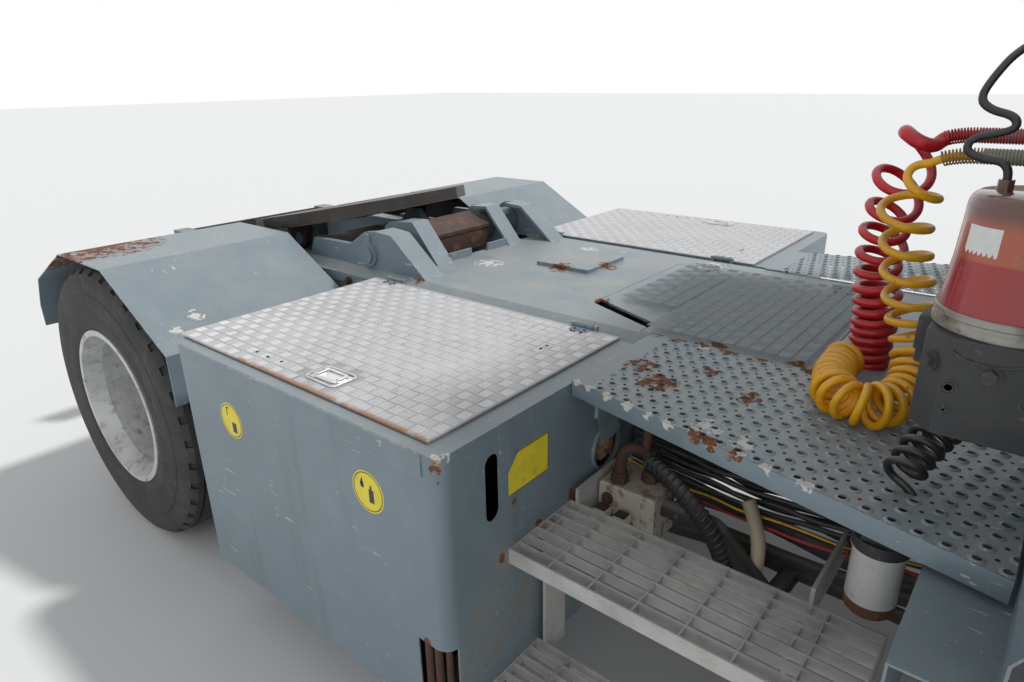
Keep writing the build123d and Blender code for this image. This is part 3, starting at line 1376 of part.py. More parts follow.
def build():
    save("frame", frame())
    save("cross_members", cross_members())
    save("deck", deck())
    save("deck_hatch", deck_hatch())
    save("side_boxes", box_right() + mirror(box_shell(), about=Plane.XZ))
    save("lid_right", lid())
    save("lid_left", mirror(lid(), about=Plane.XZ))
    save("fenders_rear", both_sides(fender_rear()))
    for name, sign in (("left", 1), ("right", -1)):
        save(f"tyre_rear_{name}", tyre(sign * DUAL_OUT_Y, REAR_X) + tyre(sign * DUAL_IN_Y, REAR_X))
        save(f"tyre_front_{name}", tyre(sign * FRONT_Y, FRONT_X))
        dual = rim(DUAL_OUT_Y, REAR_X, DUAL_MID_Y, 1) + rim(DUAL_IN_Y, REAR_X, DUAL_MID_Y, -1)
        dual += hub(REAR_X, DUAL_MID_Y - DISC_T, DUAL_MID_Y - 252, DUAL_MID_Y + 94)
        single = rim(FRONT_Y, FRONT_X, FRONT_FACE_Y, -1)
        single += hub(FRONT_X, FRONT_FACE_Y - DISC_T, KINGPIN_Y + 105, FRONT_FACE_Y + 36)
        if sign < 0:
            dual = mirror(dual, about=Plane.XZ)
            single = mirror(single, about=Plane.XZ)
        save(f"rim_rear_{name}", dual)
        save(f"rim_front_{name}", single)
        save(f"knuckle_{name}", knuckle(sign))
    save("boom", boom())
    save("boom_brackets", brackets())
    save("fifth_wheel", fifth_wheel())
    save("lift_barrels", lift_barrels())
    save("lift_rods", lift_rods())
    save("rear_axle", rear_axle())
    save("front_axle", front_axle())
    save("front_springs", front_springs())
    save("cab_shell", cab_shell())
    save("cab_roof", cab_roof())
    save("door_left", door_left())
    save("door_rear", door_rear())
    save("bonnet", bonnet())
    save("fenders_front", front_fenders())
    for piece in (
        engine,
        tanks,
        batteries,
        steps,
        steering_column,
        dashboard,
        seat,
        exhaust,
        lube_pump,
        hose_carrier,
        bumper,
        front_panel,
        mirrors,
        beacon,
        suction_hose,
        hose_red,
        hose_yellow,
        cable_black,
        cable_pump,
        cab_glass,
        door_left_glass,
        door_rear_glass,
    ):
        save(piece.__name__, piece())
    save("walkway_right", mirror(walkway(HALF_WIDTH - 440, HALF_WIDTH - 254), about=Plane.XZ))
    save("walkway_left", walkway(HALF_WIDTH - 515, HALF_WIDTH - 305))
    save("driveline", gearbox() + propshaft())
    save("lamps", lamps_front() + work_lamps() + lamps_rear())
    save("hydraulic_parts", valve_block() + spin_filter())


build()
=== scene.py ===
# %% [markdown]
# # A terminal tractor, seen from behind its right side
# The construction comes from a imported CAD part: every node is a finished solid in metres, with +X
# forward, +Y left and the ground at z = 0. This script dresses that part. It gives each surface
# its finish, lays the air hoses as real coils, and adds what is too fine for the solids: tread
# bars, perforation, tyre grooves, nuts, hinges' screws, stickers, wiring and upholstery.
# It works in the part's own frame, so a place written here is a place on the real machine.

from math import atan2, ceil, cos, hypot, pi, radians, sin, tau

import bmesh
import bpy
from mathutils import Matrix, Vector, noise


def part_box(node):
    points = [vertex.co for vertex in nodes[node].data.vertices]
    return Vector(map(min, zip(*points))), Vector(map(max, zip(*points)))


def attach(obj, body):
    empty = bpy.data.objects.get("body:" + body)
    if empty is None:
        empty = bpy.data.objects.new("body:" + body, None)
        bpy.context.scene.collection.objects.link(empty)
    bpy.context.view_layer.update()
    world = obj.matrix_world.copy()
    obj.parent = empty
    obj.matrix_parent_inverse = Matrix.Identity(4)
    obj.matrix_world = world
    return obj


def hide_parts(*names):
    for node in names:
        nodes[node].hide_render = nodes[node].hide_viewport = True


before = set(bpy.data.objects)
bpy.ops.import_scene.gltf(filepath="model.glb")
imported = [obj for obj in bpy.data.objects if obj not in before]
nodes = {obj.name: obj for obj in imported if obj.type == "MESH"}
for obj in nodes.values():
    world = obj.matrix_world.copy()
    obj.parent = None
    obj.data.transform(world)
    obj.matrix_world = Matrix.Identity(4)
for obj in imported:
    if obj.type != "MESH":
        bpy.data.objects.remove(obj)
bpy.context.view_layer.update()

# %% [markdown]
# ## Sizes that many pieces share
# The axles' places, the walkway's level, and the corners of any node's box.

# %% Places read from the solids
FRONT_X = 1.400
REAR_X = -1.800
AXLE_Z = 0.525
DECK_Z = 0.985
WALK_Z = 0.990


class Box:
    """The lowest and highest corner of a node, with plain names."""

    def __init__(self, node):
        low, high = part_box(node)
        self.x0, self.y0, self.z0 = low
        self.x1, self.y1, self.z1 = high


right_lid = Box("lid_right")
left_lid = Box("lid_left")
print("lids from x", round(right_lid.x0, 3), "to", round(right_lid.x1, 3))

# %% [markdown]
# ## Camera
# The photograph was taken by someone who stood beside the cab's rear corner and looked back and
# down over the deck with a wide lens. The wheel, the box and the walkway fix the place: the
# camera is 1.65 m up, turned 130 degrees from straight ahead and tipped 21 degrees down.

# %% Camera
EYE = (0.795, -2.021, 1.652)
YAW = radians(129.61)
PITCH = radians(21.15)
ROLL = radians(-0.86)

scene = bpy.context.scene
camera = bpy.data.objects.new("camera", bpy.data.cameras.new("camera"))
camera.data.lens = 24
camera.data.sensor_width = 36
camera.data.clip_end = 200
turn = Matrix.Rotation(YAW - pi / 2, 4, "Z")
turn = turn @ Matrix.Rotation(pi / 2 - PITCH, 4, "X") @ Matrix.Rotation(ROLL, 4, "Z")
camera.matrix_world = Matrix.Translation(EYE) @ turn
scene.collection.objects.link(camera)
scene.camera = camera
print("camera looks along", [round(v, 3) for v in turn @ Vector((0, 0, -1))])

# %% [markdown]
# ## Floor and light
# A plain pale floor and a white sky make a studio that suits any angle. A wide soft sun from
# the front left gives the form its shade, as the sun does in the photograph. World and sun
# together light a level face about as brightly as its colour is written.

# %% Floor and light
scene.view_settings.view_transform = "Standard"
world = bpy.data.worlds.new("studio")
scene.world = world
world.use_nodes = True
tree = world.node_tree
sky = tree.nodes["Background"]
sky.inputs["Color"].default_value = (0.93, 0.96, 1.0, 1)
sky.inputs["Strength"].default_value = 0.48
backdrop = tree.nodes.new("ShaderNodeBackground")
backdrop.inputs["Color"].default_value = (1, 1, 1, 1)
rays = tree.nodes.new("ShaderNodeLightPath")
mix = tree.nodes.new("ShaderNodeMixShader")
seen = rays.outputs["Is Camera Ray"]
for kind in ("Is Transmission Ray", "Is Glossy Ray"):
    either = tree.nodes.new("ShaderNodeMath")
    either.operation = "MAXIMUM"
    tree.links.new(seen, either.inputs[0])
    tree.links.new(rays.outputs[kind], either.inputs[1])
    seen = either.outputs[0]
tree.links.new(seen, mix.inputs[0])
tree.links.new(sky.outputs[0], mix.inputs[1])
tree.links.new(backdrop.outputs[0], mix.inputs[2])
tree.links.new(mix.outputs[0], tree.nodes["World Output"].inputs["Surface"])


def soft_sun(name, strength, spread, towards):
    """A sun lamp with a wide soft edge, shining along a direction."""
    lamp = bpy.data.objects.new(name, bpy.data.lights.new(name, "SUN"))
    lamp.data.energy = strength
    lamp.data.angle = radians(spread)
    lamp.rotation_mode = "QUATERNION"
    lamp.rotation_quaternion = Vector(towards).to_track_quat("-Z", "Y")
    scene.collection.objects.link(lamp)


soft_sun("key", 2.05, 5, (-0.45, -0.38, -0.85))
soft_sun("fill", 0.45, 60, (-0.5, 0.9, -0.35))

floor_mesh = bmesh.new()
bmesh.ops.create_grid(floor_mesh, x_segments=2, y_segments=2, size=60)
mesh = bpy.data.meshes.new("floor")
floor_mesh.to_mesh(mesh)
floor = bpy.data.objects.new("floor", mesh)
scene.collection.objects.link(floor)
floor_paint = bpy.data.materials.new("floor")
floor_paint.use_nodes = True
floor_paint.node_tree.nodes["Principled BSDF"].inputs["Base Color"].default_value = (0.80, 0.80, 0.79, 1)
floor_paint.node_tree.nodes["Principled BSDF"].inputs["Roughness"].default_value = 0.9
mesh.materials.append(floor_paint)

# %% [markdown]
# ## Helpers for pieces
# Each new piece is a bmesh that starts from a create operator and is shaped by others. One
# helper puts it into the scene with its material and says which body of the machine it rides
# on. The others make what comes back many times: rods, blocks, bolts, bands between two loops,
# a cut along a plane, and a tile that is repeated.

# %% Helpers for pieces
def add_piece(name, bm, material, body, smooth=30, node=None):
    """Turn a bmesh into a finished piece that rides on a body."""
    bmesh.ops.remove_doubles(bm, verts=bm.verts, dist=1e-6)
    mesh = bpy.data.meshes.new(name)
    bm.to_mesh(mesh)
    bm.free()
    for m in material if isinstance(material, (list, tuple)) else [material]:
        mesh.materials.append(m)
    piece = bpy.data.objects.new(name, mesh)
    scene.collection.objects.link(piece)
    if smooth:
        mesh.shade_smooth()
        mesh.set_sharp_from_angle(angle=radians(smooth))
    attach(piece, body)
    if node:
        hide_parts(*([node] if isinstance(node, str) else node))
    return piece


def ring(bm, radius, sides, matrix):
    """A closed loop of edges round the matrix's z axis."""
    return bmesh.ops.create_circle(bm, cap_ends=False, radius=radius, segments=sides, matrix=matrix)["verts"]


def bridge(bm, loops):
    """Bands of faces from each loop of vertices to the next one."""
    faces = []
    for pair in zip(loops, loops[1:]):
        edges = []
        for loop in pair:
            linked = {e for v in loop for e in v.link_edges}
            edges += [e for e in linked if all(v in loop for v in e.verts)]
        faces += bmesh.ops.bridge_loops(bm, edges=edges)["faces"]
    return faces


def cut_off(bm, geom, place, outward):
    """Cut away what lies beyond a plane, and close the cut."""
    cut = bmesh.ops.bisect_plane(bm, geom=geom, plane_co=place, plane_no=outward, clear_outer=True)
    rim = [e for e in cut["geom_cut"] if isinstance(e, bmesh.types.BMEdge)]
    bmesh.ops.holes_fill(bm, edges=rim, sides=8)


def along(a, b):
    """A matrix whose origin is a and whose z axis points to b."""
    a, b = Vector(a), Vector(b)
    return Matrix.Translation(a) @ (b - a).to_track_quat("Z", "Y").to_matrix().to_4x4()


def rod(bm, a, b, radius, sides=16, radius2=None, material=0):
    """A closed round rod or cone from a to b."""
    a, b = Vector(a), Vector(b)
    made = bmesh.ops.create_cone(
        bm,
        cap_ends=True,
        segments=sides,
        radius1=radius,
        radius2=radius if radius2 is None else radius2,
        depth=(b - a).length,
        matrix=along((a + b) / 2, b),
    )
    for face in {f for v in made["verts"] for f in v.link_faces}:
        face.material_index = material


def block(bm, x0, x1, y0, y1, z0, z1, bevel=0.0, segments=2, material=0):
    """A box between two corners, with its edges rounded. Returns its vertices."""
    centre = Matrix.Translation(((x0 + x1) / 2, (y0 + y1) / 2, (z0 + z1) / 2))
    verts = bmesh.ops.create_cube(bm, size=1)["verts"]
    bmesh.ops.scale(bm, vec=(x1 - x0, y1 - y0, z1 - z0), verts=verts)
    bmesh.ops.transform(bm, matrix=centre, verts=verts)
    for face in {f for v in verts for f in v.link_faces}:
        face.material_index = material
    if bevel:
        edges = list({e for v in verts for e in v.link_edges})
        made = bmesh.ops.bevel(
            bm, geom=edges, offset=bevel, segments=segments, profile=0.5, affect="EDGES", material=-1
        )
        verts = list({v for f in made["faces"] for v in f.verts} | {v for v in verts if v.is_valid})
    return verts


def bolt(bm, place, towards, size):
    """A hexagon head on a washer: size is its width across the flats."""
    place, towards = Vector(place), Vector(towards).normalized()
    rod(bm, place, place + towards * size * 0.14, size * 0.85, 16)
    base = place + towards * size * 0.12
    rod(bm, base, base + towards * size * 0.55, size * 0.577, 6)
    rod(bm, base + towards * size * 0.5, base + towards * size * 0.62, size * 0.5, 12, size * 0.42)


def repeat(bm, *rows, merge=False):
    """Repeat what a bmesh holds: each row is a count and the step from one copy to the next."""
    mesh = bpy.data.meshes.new("tile")
    bm.to_mesh(mesh)
    tile = bpy.data.objects.new("tile", mesh)
    scene.collection.objects.link(tile)
    for count, step in rows:
        array = tile.modifiers.new("row", "ARRAY")
        array.use_relative_offset = False
        array.use_constant_offset = True
        array.count = count
        array.constant_offset_displace = step
        array.use_merge_vertices = merge
        array.merge_threshold = 0.0002
    filled = tile.evaluated_get(bpy.context.evaluated_depsgraph_get())
    bm.clear()
    bm.from_mesh(filled.to_mesh())
    bpy.data.objects.remove(tile)
    bpy.data.meshes.remove(mesh)


print("helpers ready")

# %% [markdown]
# ## Finishes in layers
# Real surfaces are built up: a coat of paint, then dust on what faces up, dirt where water
# runs, chips and rust where boots and tools hit. A finish here is the same: it starts as one
# colour, and each layer lays another colour over it through a mask. The masks are noise on
# Object coordinates, whose scale is in metres, so they fit any piece and stay put when it moves.

# %% Finishes in layers
BUMP_DISTANCE = 0.001


class Finish:
    """A material that grows by layers over one shader."""

    def __init__(self, name, colour, roughness, metallic=0.0):
        self.material = bpy.data.materials.new(name)
        self.material.use_nodes = True
        self.tree = self.material.node_tree
        self.shader = self.tree.nodes["Principled BSDF"]
        self.place = self.tree.nodes.new("ShaderNodeTexCoord").outputs["Object"]
        self.values = {"Base Color": colour, "Roughness": roughness, "Metallic": metallic}
        self.height = None

    def node(self, kind, *inputs, **settings):
        """A node with its settings made and its inputs set or linked in order."""
        made = self.tree.nodes.new("ShaderNode" + kind)
        for key, value in settings.items():
            setattr(made, key, value)
        for socket, value in zip(made.inputs, inputs):
            self.feed(socket, value)
        return made

    def feed(self, socket, value):
        if isinstance(value, bpy.types.NodeSocket):
            self.tree.links.new(value, socket)
        elif value is not None:
            socket.default_value = value

    def noise(
        self, scale, low, high, detail=4, rough=0.55, stretch=(1, 1, 1), shift=(0, 0, 0), warp=0.0
    ):
        """Cloudy noise, with its values between low and high spread over 0 to 1."""
        mapping = self.node("Mapping", self.place)
        mapping.inputs["Scale"].default_value = stretch
        mapping.inputs["Location"].default_value = shift
        made = self.node("TexNoise", mapping.outputs[0])
        for key, value in (("Scale", scale), ("Detail", detail), ("Roughness", rough), ("Distortion", warp)):
            made.inputs[key].default_value = value
        return self.spread(made.outputs[0], low, high)

    def spread(self, value, low, high, smooth=True):
        """Map low..high to 0..1 and hold the ends."""
        made = self.node("MapRange", value, low, high, 0.0, 1.0)
        made.interpolation_type = "SMOOTHSTEP" if smooth else "LINEAR"
        return made.outputs[0]

    def math(self, operation, *values):
        return self.node("Math", *values, operation=operation).outputs[0]

    def times(self, a, b):
        """Where both masks are."""
        return self.math("MULTIPLY", a, b)

    def rest(self, mask):
        """What a mask leaves free."""
        return self.math("SUBTRACT", 1.0, mask)

    def axis(self, name):
        return self.node("SeparateXYZ", self.place).outputs["XYZ".index(name)]

    def facing(self, name):
        """How far the surface faces along an axis, from -1 to 1."""
        normal = self.node("NewGeometry").outputs["Normal"]
        return self.node("SeparateXYZ", normal).outputs["XYZ".index(name)]

    def edges(self, radius):
        """A mask that is 1 on outer and inner corners within a radius."""
        rounded = self.node("Bevel", radius, samples=3).outputs[0]
        normal = self.node("NewGeometry").outputs["Normal"]
        same = self.node("VectorMath", rounded, normal, operation="DOT_PRODUCT").outputs["Value"]
        return self.spread(self.rest(same), 0.03, 0.18)

    def spots(self, places, ragged=0.5, scale=28, soft=0.18):
        """A mask of ragged patches round (x, y, z, radius) places."""
        edge = self.noise(scale, 0.3, 0.7, detail=6, rough=0.65)
        total = None
        for x, y, z, r in places:
            gap = self.node("VectorMath", self.place, (x, y, z), operation="DISTANCE").outputs["Value"]
            near = self.rest(self.math("DIVIDE", gap, r))
            sway = self.times(self.math("SUBTRACT", edge, 0.5), ragged * 2)
            patch = self.spread(self.math("ADD", near, sway), 0.35 - soft, 0.35 + soft)
            patch = self.times(patch, self.math("GREATER_THAN", near, 0.0))
            total = patch if total is None else self.math("MAXIMUM", total, patch)
        return total

    def layer(self, mask, colour=None, roughness=None, metallic=None, amount=1.0):
        """Lay a colour, roughness or metal over what is there, where the mask is 1."""
        if amount != 1.0:
            mask = self.times(mask, amount)
        if colour is not None:
            mix = self.node("Mix", data_type="RGBA")
            self.feed(mix.inputs["Factor"], mask)
            rgba = [s for s in mix.inputs if s.type == "RGBA"]
            self.feed(rgba[0], self.tint(self.values["Base Color"]))
            self.feed(rgba[1], self.tint(colour))
            self.values["Base Color"] = next(s for s in mix.outputs if s.type == "RGBA")
        for socket, value in (("Roughness", roughness), ("Metallic", metallic)):
            if value is not None:
                mix = self.node("Mix", mask, data_type="FLOAT")
                self.feed(mix.inputs["A"], self.values[socket])
                self.feed(mix.inputs["B"], value)
                self.values[socket] = mix.outputs[0]

    @staticmethod
    def tint(colour):
        """A colour as a socket takes it, with a fourth number."""
        return (*colour, 1) if isinstance(colour, tuple) and len(colour) == 3 else colour

    def raise_by(self, height, metres):
        """Add a height, 0 to 1 times metres, to the surface's relief."""
        lift = self.times(height, metres / BUMP_DISTANCE)
        self.height = lift if self.height is None else self.math("ADD", self.height, lift)

    def done(self):
        """Link what the layers came to, and return the material."""
        for socket, value in self.values.items():
            self.feed(self.shader.inputs[socket], self.tint(value))
        if self.height is not None:
            bump = self.node("Bump")
            bump.inputs["Strength"].default_value = 1.0
            bump.inputs["Distance"].default_value = BUMP_DISTANCE
            self.feed(bump.inputs["Height"], self.height)
            self.tree.links.new(bump.outputs[0], self.shader.inputs["Normal"])
        return self.material


def shade(colour, factor, lift=0.0):
    """A colour made darker or lighter."""
    return tuple(min(1, c * factor + lift) for c in colour)


def dress(material, *names):
    """Give CAD nodes a material."""
    for name in names:
        mesh = nodes[name].data
        mesh.materials.clear()
        mesh.materials.append(material)


RUST = (0.21, 0.075, 0.03)
RUST_DARK = (0.09, 0.04, 0.022)
PRIMER = (0.62, 0.60, 0.56)
DUST = (0.46, 0.42, 0.36)
print("finishes ready")

# %% [markdown]
# ## Air hoses and cables
# A terminal tractor feeds its trailer's brakes through two plastic hoses that are baked into
# coils, red for supply and yellow for service. They hang from a board behind the cab, each out
# of a spring guard. The red one stands on the deck and its turns stack up, the yellow one lies
# along the walkway in a half ring. A curly cord is a helix round a path. The path is a smooth
# NURBS line through a few points, and a loop winds the turns round it, with the
# turns far apart where the coil hangs and touching where it stands.

# %% Routes, in metres
RED_ROUTE = [
    (0.612, -0.300, 1.528),
    (0.515, -0.300, 1.528),
    (0.475, -0.285, 1.385),
    (0.466, -0.281, 1.240),
    (0.486, -0.280, 1.120),
    (0.486, -0.280, 0.986),
]
YELLOW_ROUTE = [
    (0.640, -0.430, 1.500),
    (0.545, -0.430, 1.500),
    (0.528, -0.428, 1.400),
    (0.546, -0.426, 1.280),
    (0.580, -0.430, 1.160),
    (0.612, -0.480, 1.075),
    (0.612, -0.585, 1.036),
    (0.565, -0.656, 1.0355),
    (0.497, -0.630, 1.0355),
    (0.462, -0.530, 1.0355),
    (0.462, -0.430, 1.0355),
]
BLACK_ROUTE = [
    (0.872, -0.720, 1.112),
    (0.800, -0.720, 1.112),
    (0.720, -0.745, 1.100),
    (0.685, -0.800, 1.065),
    (0.672, -0.850, 1.030),
]
PUMP_ROUTE = [
    (0.715, -0.850, 1.511),
    (0.715, -0.850, 1.533),
    (0.676, -0.850, 1.537),
    (0.658, -0.849, 1.548),
    (0.664, -0.846, 1.564),
    (0.694, -0.840, 1.570),
    (0.712, -0.837, 1.578),
    (0.706, -0.834, 1.593),
    (0.676, -0.830, 1.600),
    (0.660, -0.826, 1.614),
    (0.668, -0.815, 1.640),
    (0.690, -0.790, 1.680),
    (0.750, -0.740, 1.715),
    (0.812, -0.650, 1.728),
    (0.872, -0.650, 1.728),
]
print("routes of", [len(r) for r in (RED_ROUTE, YELLOW_ROUTE, BLACK_ROUTE, PUMP_ROUTE)], "points")

# %% A NURBS curve, and the smooth line that it draws
LEAN_TO = Vector((0.64, -0.77, 0))


def nurbs(name, points, thickness=0.0, sides=4, resolution=12):
    curve = bpy.data.curves.new(name, "CURVE")
    curve.dimensions = "3D"
    curve.bevel_depth = thickness / 2
    curve.bevel_resolution = sides
    curve.use_fill_caps = True
    curve.resolution_u = resolution
    spline = curve.splines.new("NURBS")
    spline.points.add(len(points) - 1)
    for point, place in zip(spline.points, points):
        point.co = (*place, 1)
    spline.order_u = 3
    spline.use_endpoint_u = True
    return bpy.data.objects.new(name, curve)


def line_of(points, resolution=24):
    """Points close together on the NURBS line through a route."""
    drawn = nurbs("line", points, resolution=resolution)
    mesh = bpy.data.meshes.new_from_object(drawn)
    line = [v.co.copy() for v in mesh.vertices]
    bpy.data.objects.remove(drawn)
    return line


def length_of(line):
    return sum((b - a).length for a, b in zip(line, line[1:]))


class Walk:
    """Walks along a line: gives the place, and two directions square to it, at a distance."""

    def __init__(self, points):
        self.line = line_of(points)
        self.reach = [0.0]
        for a, b in zip(self.line, self.line[1:]):
            self.reach.append(self.reach[-1] + (b - a).length)
        self.total = self.reach[-1]
        side = (self.line[1] - self.line[0]).orthogonal().normalized()
        self.sides = []
        for a, b in zip(self.line, self.line[1:] + [2 * self.line[-1] - self.line[-2]]):
            way = (b - a).normalized()
            side = (side - way * side.dot(way)).normalized()
            self.sides.append((side.copy(), way.cross(side)))

    def at(self, distance):
        distance = min(max(distance, 0.0), self.total)
        k = next((i for i, r in enumerate(self.reach[1:]) if r >= distance), len(self.line) - 2)
        part = (distance - self.reach[k]) / (self.reach[k + 1] - self.reach[k])
        return self.line[k].lerp(self.line[k + 1], part), self.sides[k]


def between(table, t):
    """The value at t in a table of (t, value) rows, with straight steps between rows."""
    for (t0, v0), (t1, v1) in zip(table, table[1:]):
        if t <= t1:
            return v0 + (v1 - v0) * (t - t0) / (t1 - t0)
    return table[-1][1]


def coil(
    route, pitch, radius, lean, clockwise=1, first_turn=0.0, wobble=0.0, per_turn=14, run_out=True
):
    """Points of a helix round a route.

    Pitch, radius and lean are tables over the share of the route. Lean tips the turns towards
    the camera's side, because a hanging coil's turns don't stay square to its middle line.
    """
    walk = Walk(route)
    points, distance, turn = [], 0.0, first_turn
    level = abs((walk.line[-1] - walk.line[-2]).normalized().z) < 0.9
    while True:
        share = min(1.0, distance / walk.total)
        centre, (side, up) = walk.at(distance)
        way = side.cross(up)
        arm = (side * cos(turn) + up * sin(turn)) * between(radius, share)
        arm *= 1 + wobble * noise.noise((turn * 0.11, share * 5, 0.3))
        tip = way * arm.dot(LEAN_TO) * between(lean, share)
        points.append(centre + arm + tip + way * max(0.0, distance - walk.total))
        lowest = -hypot(way.x, way.y)
        at_bottom = not level or arm.normalized().z < 0.9 * lowest
        if distance >= walk.total and (at_bottom or not run_out):
            break
        distance += between(pitch, share) / per_turn
        turn += clockwise * tau / per_turn
    # The end leaves the last turn in a smooth curve and goes down through the floor
    end = points[-1]
    onward = (end - points[-2]).normalized() * 0.012
    for step in range(1, 5 if run_out else 1):
        points.append(end + onward * step + Vector((0, 0, -0.0018 * step * step)))
    print("coil of", round(abs(turn - first_turn) / tau, 1), "turns round", round(walk.total, 3), "m")
    return points

# %% [markdown]
# The hoses are glossy polyamide, dulled by handling: a film of grey dust on top and dark grease
# where they rub each other. The cables' sheaths are plain black rubber.

# %% Finishes of the hoses
def hose_finish(name, colour, grime, gloss=0.32):
    made = Finish(name, colour, gloss)
    made.layer(made.noise(7, 0.35, 0.75), shade(colour, 0.72))
    made.layer(made.noise(60, 0.62, 0.74, detail=8), grime, 0.7, amount=0.75)
    made.layer(made.spread(made.facing("Z"), 0.3, 1.2), DUST, 0.6, amount=0.22)
    made.raise_by(made.noise(220, 0.2, 0.8), 0.00015)
    return made.done()


red_plastic = hose_finish("red_hose", (0.62, 0.006, 0.016), (0.16, 0.01, 0.012))
yellow_plastic = hose_finish("yellow_hose", (0.92, 0.46, 0.006), (0.16, 0.10, 0.02))
black_sheath = hose_finish("black_sheath", (0.018, 0.018, 0.020), (0.06, 0.055, 0.05), 0.42)

# %% Hoses and cables
def tube(name, points, thickness, finish, sides=3, resolution=3):
    """A round tube on a NURBS line that rides on the chassis."""
    piece = nurbs(name, points, thickness, sides, resolution)
    piece.data.materials.append(finish)
    scene.collection.objects.link(piece)
    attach(piece, "chassis")
    return piece


RED_HOSE = 0.0195
YELLOW_HOSE = 0.017
CABLE = 0.0135
red_points = coil(
    RED_ROUTE,
    pitch=[(0, 0.12), (0.18, 0.10), (0.3, 0.068), (0.5, 0.050), (0.66, 0.036), (0.85, 0.022), (1, 0.0212)],
    radius=[(0, 0), (0.10, 0), (0.17, 0.052), (0.3, 0.054), (0.5, 0.047), (0.75, 0.043), (1, 0.041)],
    lean=[(0, 0), (0.15, 0.2), (0.3, 0.55), (0.5, 0.42), (0.7, 0.12), (0.85, 0)],
    first_turn=2.4,
    wobble=0.25,
)
yellow_points = coil(
    YELLOW_ROUTE,
    pitch=[(0, 0.12), (0.12, 0.10), (0.2, 0.064), (0.38, 0.052), (0.5, 0.036), (0.6, 0.028), (1, 0.026)],
    radius=[(0, 0), (0.09, 0), (0.16, 0.049), (0.4, 0.046), (0.55, 0.038), (1, 0.0355)],
    lean=[(0, 0), (0.15, 0.2), (0.4, 0.2), (0.5, 0)],
    clockwise=-1,
    first_turn=2.0,
    wobble=0.2,
)
black_points = coil(
    BLACK_ROUTE,
    pitch=[(0, 0.05), (0.3, 0.026), (1, 0.024)],
    radius=[(0, 0), (0.06, 0), (0.2, 0.029), (1, 0.0275)],
    lean=[(0, 0), (1, 0)],
    wobble=0.2,
)
hose_red = tube("hose_red_coil", red_points, RED_HOSE, red_plastic)
hose_yellow = tube("hose_yellow_coil", yellow_points, YELLOW_HOSE, yellow_plastic)
cable_black = tube("cable_black_coil", black_points, CABLE, black_sheath)
cable_pump = tube("cable_pump_lead", PUMP_ROUTE, 0.011, black_sheath, resolution=12)

# %% [markdown]
# Where it leaves its coupling, each air hose runs in a spring guard: a close steel coil that
# keeps the hose from kinking. The red one also has a soft sleeve over its first bend.

# %% Spring guards and the sleeve
def on_hose(points, start, end):
    """The stretch of a hose's middle line from start to end, in metres from its coupling."""
    line = line_of(points, 8)
    reach, kept = 0.0, []
    for a, b in zip(line, line[1:]):
        reach += (b - a).length
        if start <= reach <= end and (not kept or (b - kept[-1]).length > 0.006):
            kept.append(b)
    return kept


def spring(name, centre_line, radius, wire, pitch, finish):
    """A close steel coil round a line."""
    walk = Walk(centre_line)
    turns = walk.total / pitch
    points = []
    per_turn = 12
    for n in range(int(turns * per_turn)):
        centre, (side, up) = walk.at(walk.total * n / (turns * per_turn))
        angle = tau * n / per_turn
        points.append(centre + (side * cos(angle) + up * sin(angle)) * radius)
    return tube(name, points, wire, finish, 1, 2)


steel = hose_finish("spring_steel", (0.30, 0.20, 0.05), (0.12, 0.07, 0.03), 0.5)
red_spring = hose_finish("red_spring", (0.50, 0.030, 0.020), (0.16, 0.03, 0.02), 0.45)
for name, start, route, points, reach, radius, wire, pitch, finish in (
    ("guard_red", (0.818, -0.300, 1.528), RED_ROUTE, red_points, 0.062, 0.0150, 0.0032, 0.0052, red_spring),
    ("guard_yellow", (0.818, -0.430, 1.5), YELLOW_ROUTE, yellow_points, 0.07, 0.0145, 0.0028, 0.0056, steel),
):
    line = [Vector(start), Vector(route[0])] + on_hose(points, 0.002, reach)
    spring(name, line, radius, wire, pitch, finish)
sleeve = tube("sleeve_red", on_hose(red_points, 0.050, 0.200), 0.030, red_plastic, 4)

for piece, node, start, points, thickness, stiffness, lay, on_it in (
    (hose_red, "hose_red", RED_ROUTE[0], red_points, RED_HOSE, "medium", "coiled", (sleeve,)),
    (hose_yellow, "hose_yellow", YELLOW_ROUTE[0], yellow_points, YELLOW_HOSE, "medium", "coiled", ()),
    (cable_black, "cable_black", BLACK_ROUTE[0], black_points, CABLE, "medium", "coiled", ()),
    (cable_pump, "cable_pump", PUMP_ROUTE[0], PUMP_ROUTE, 0.011, "stiff", "loose", ()),
):
    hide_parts(node)
    length = round(length_of(line_of(points, piece.data.resolution_u)), 3)
    print(piece.name, "is", length, "m long")

# %% [markdown]
# ## Paint, dirt and rust
# Nearly everything on this machine wears the same blue-grey coat. The coat is semi-gloss, a
# little mottled, and has been walked on for years. Corners are rubbed down to pale primer and
# rust, dust settles on level faces, and mud splashes up from the ground. One function builds
# the coat, and each panel gets its own patches of chips and rust at the places where the
# photograph shows them.

# %% Paint
BLUE_GREY = (0.196, 0.256, 0.290)


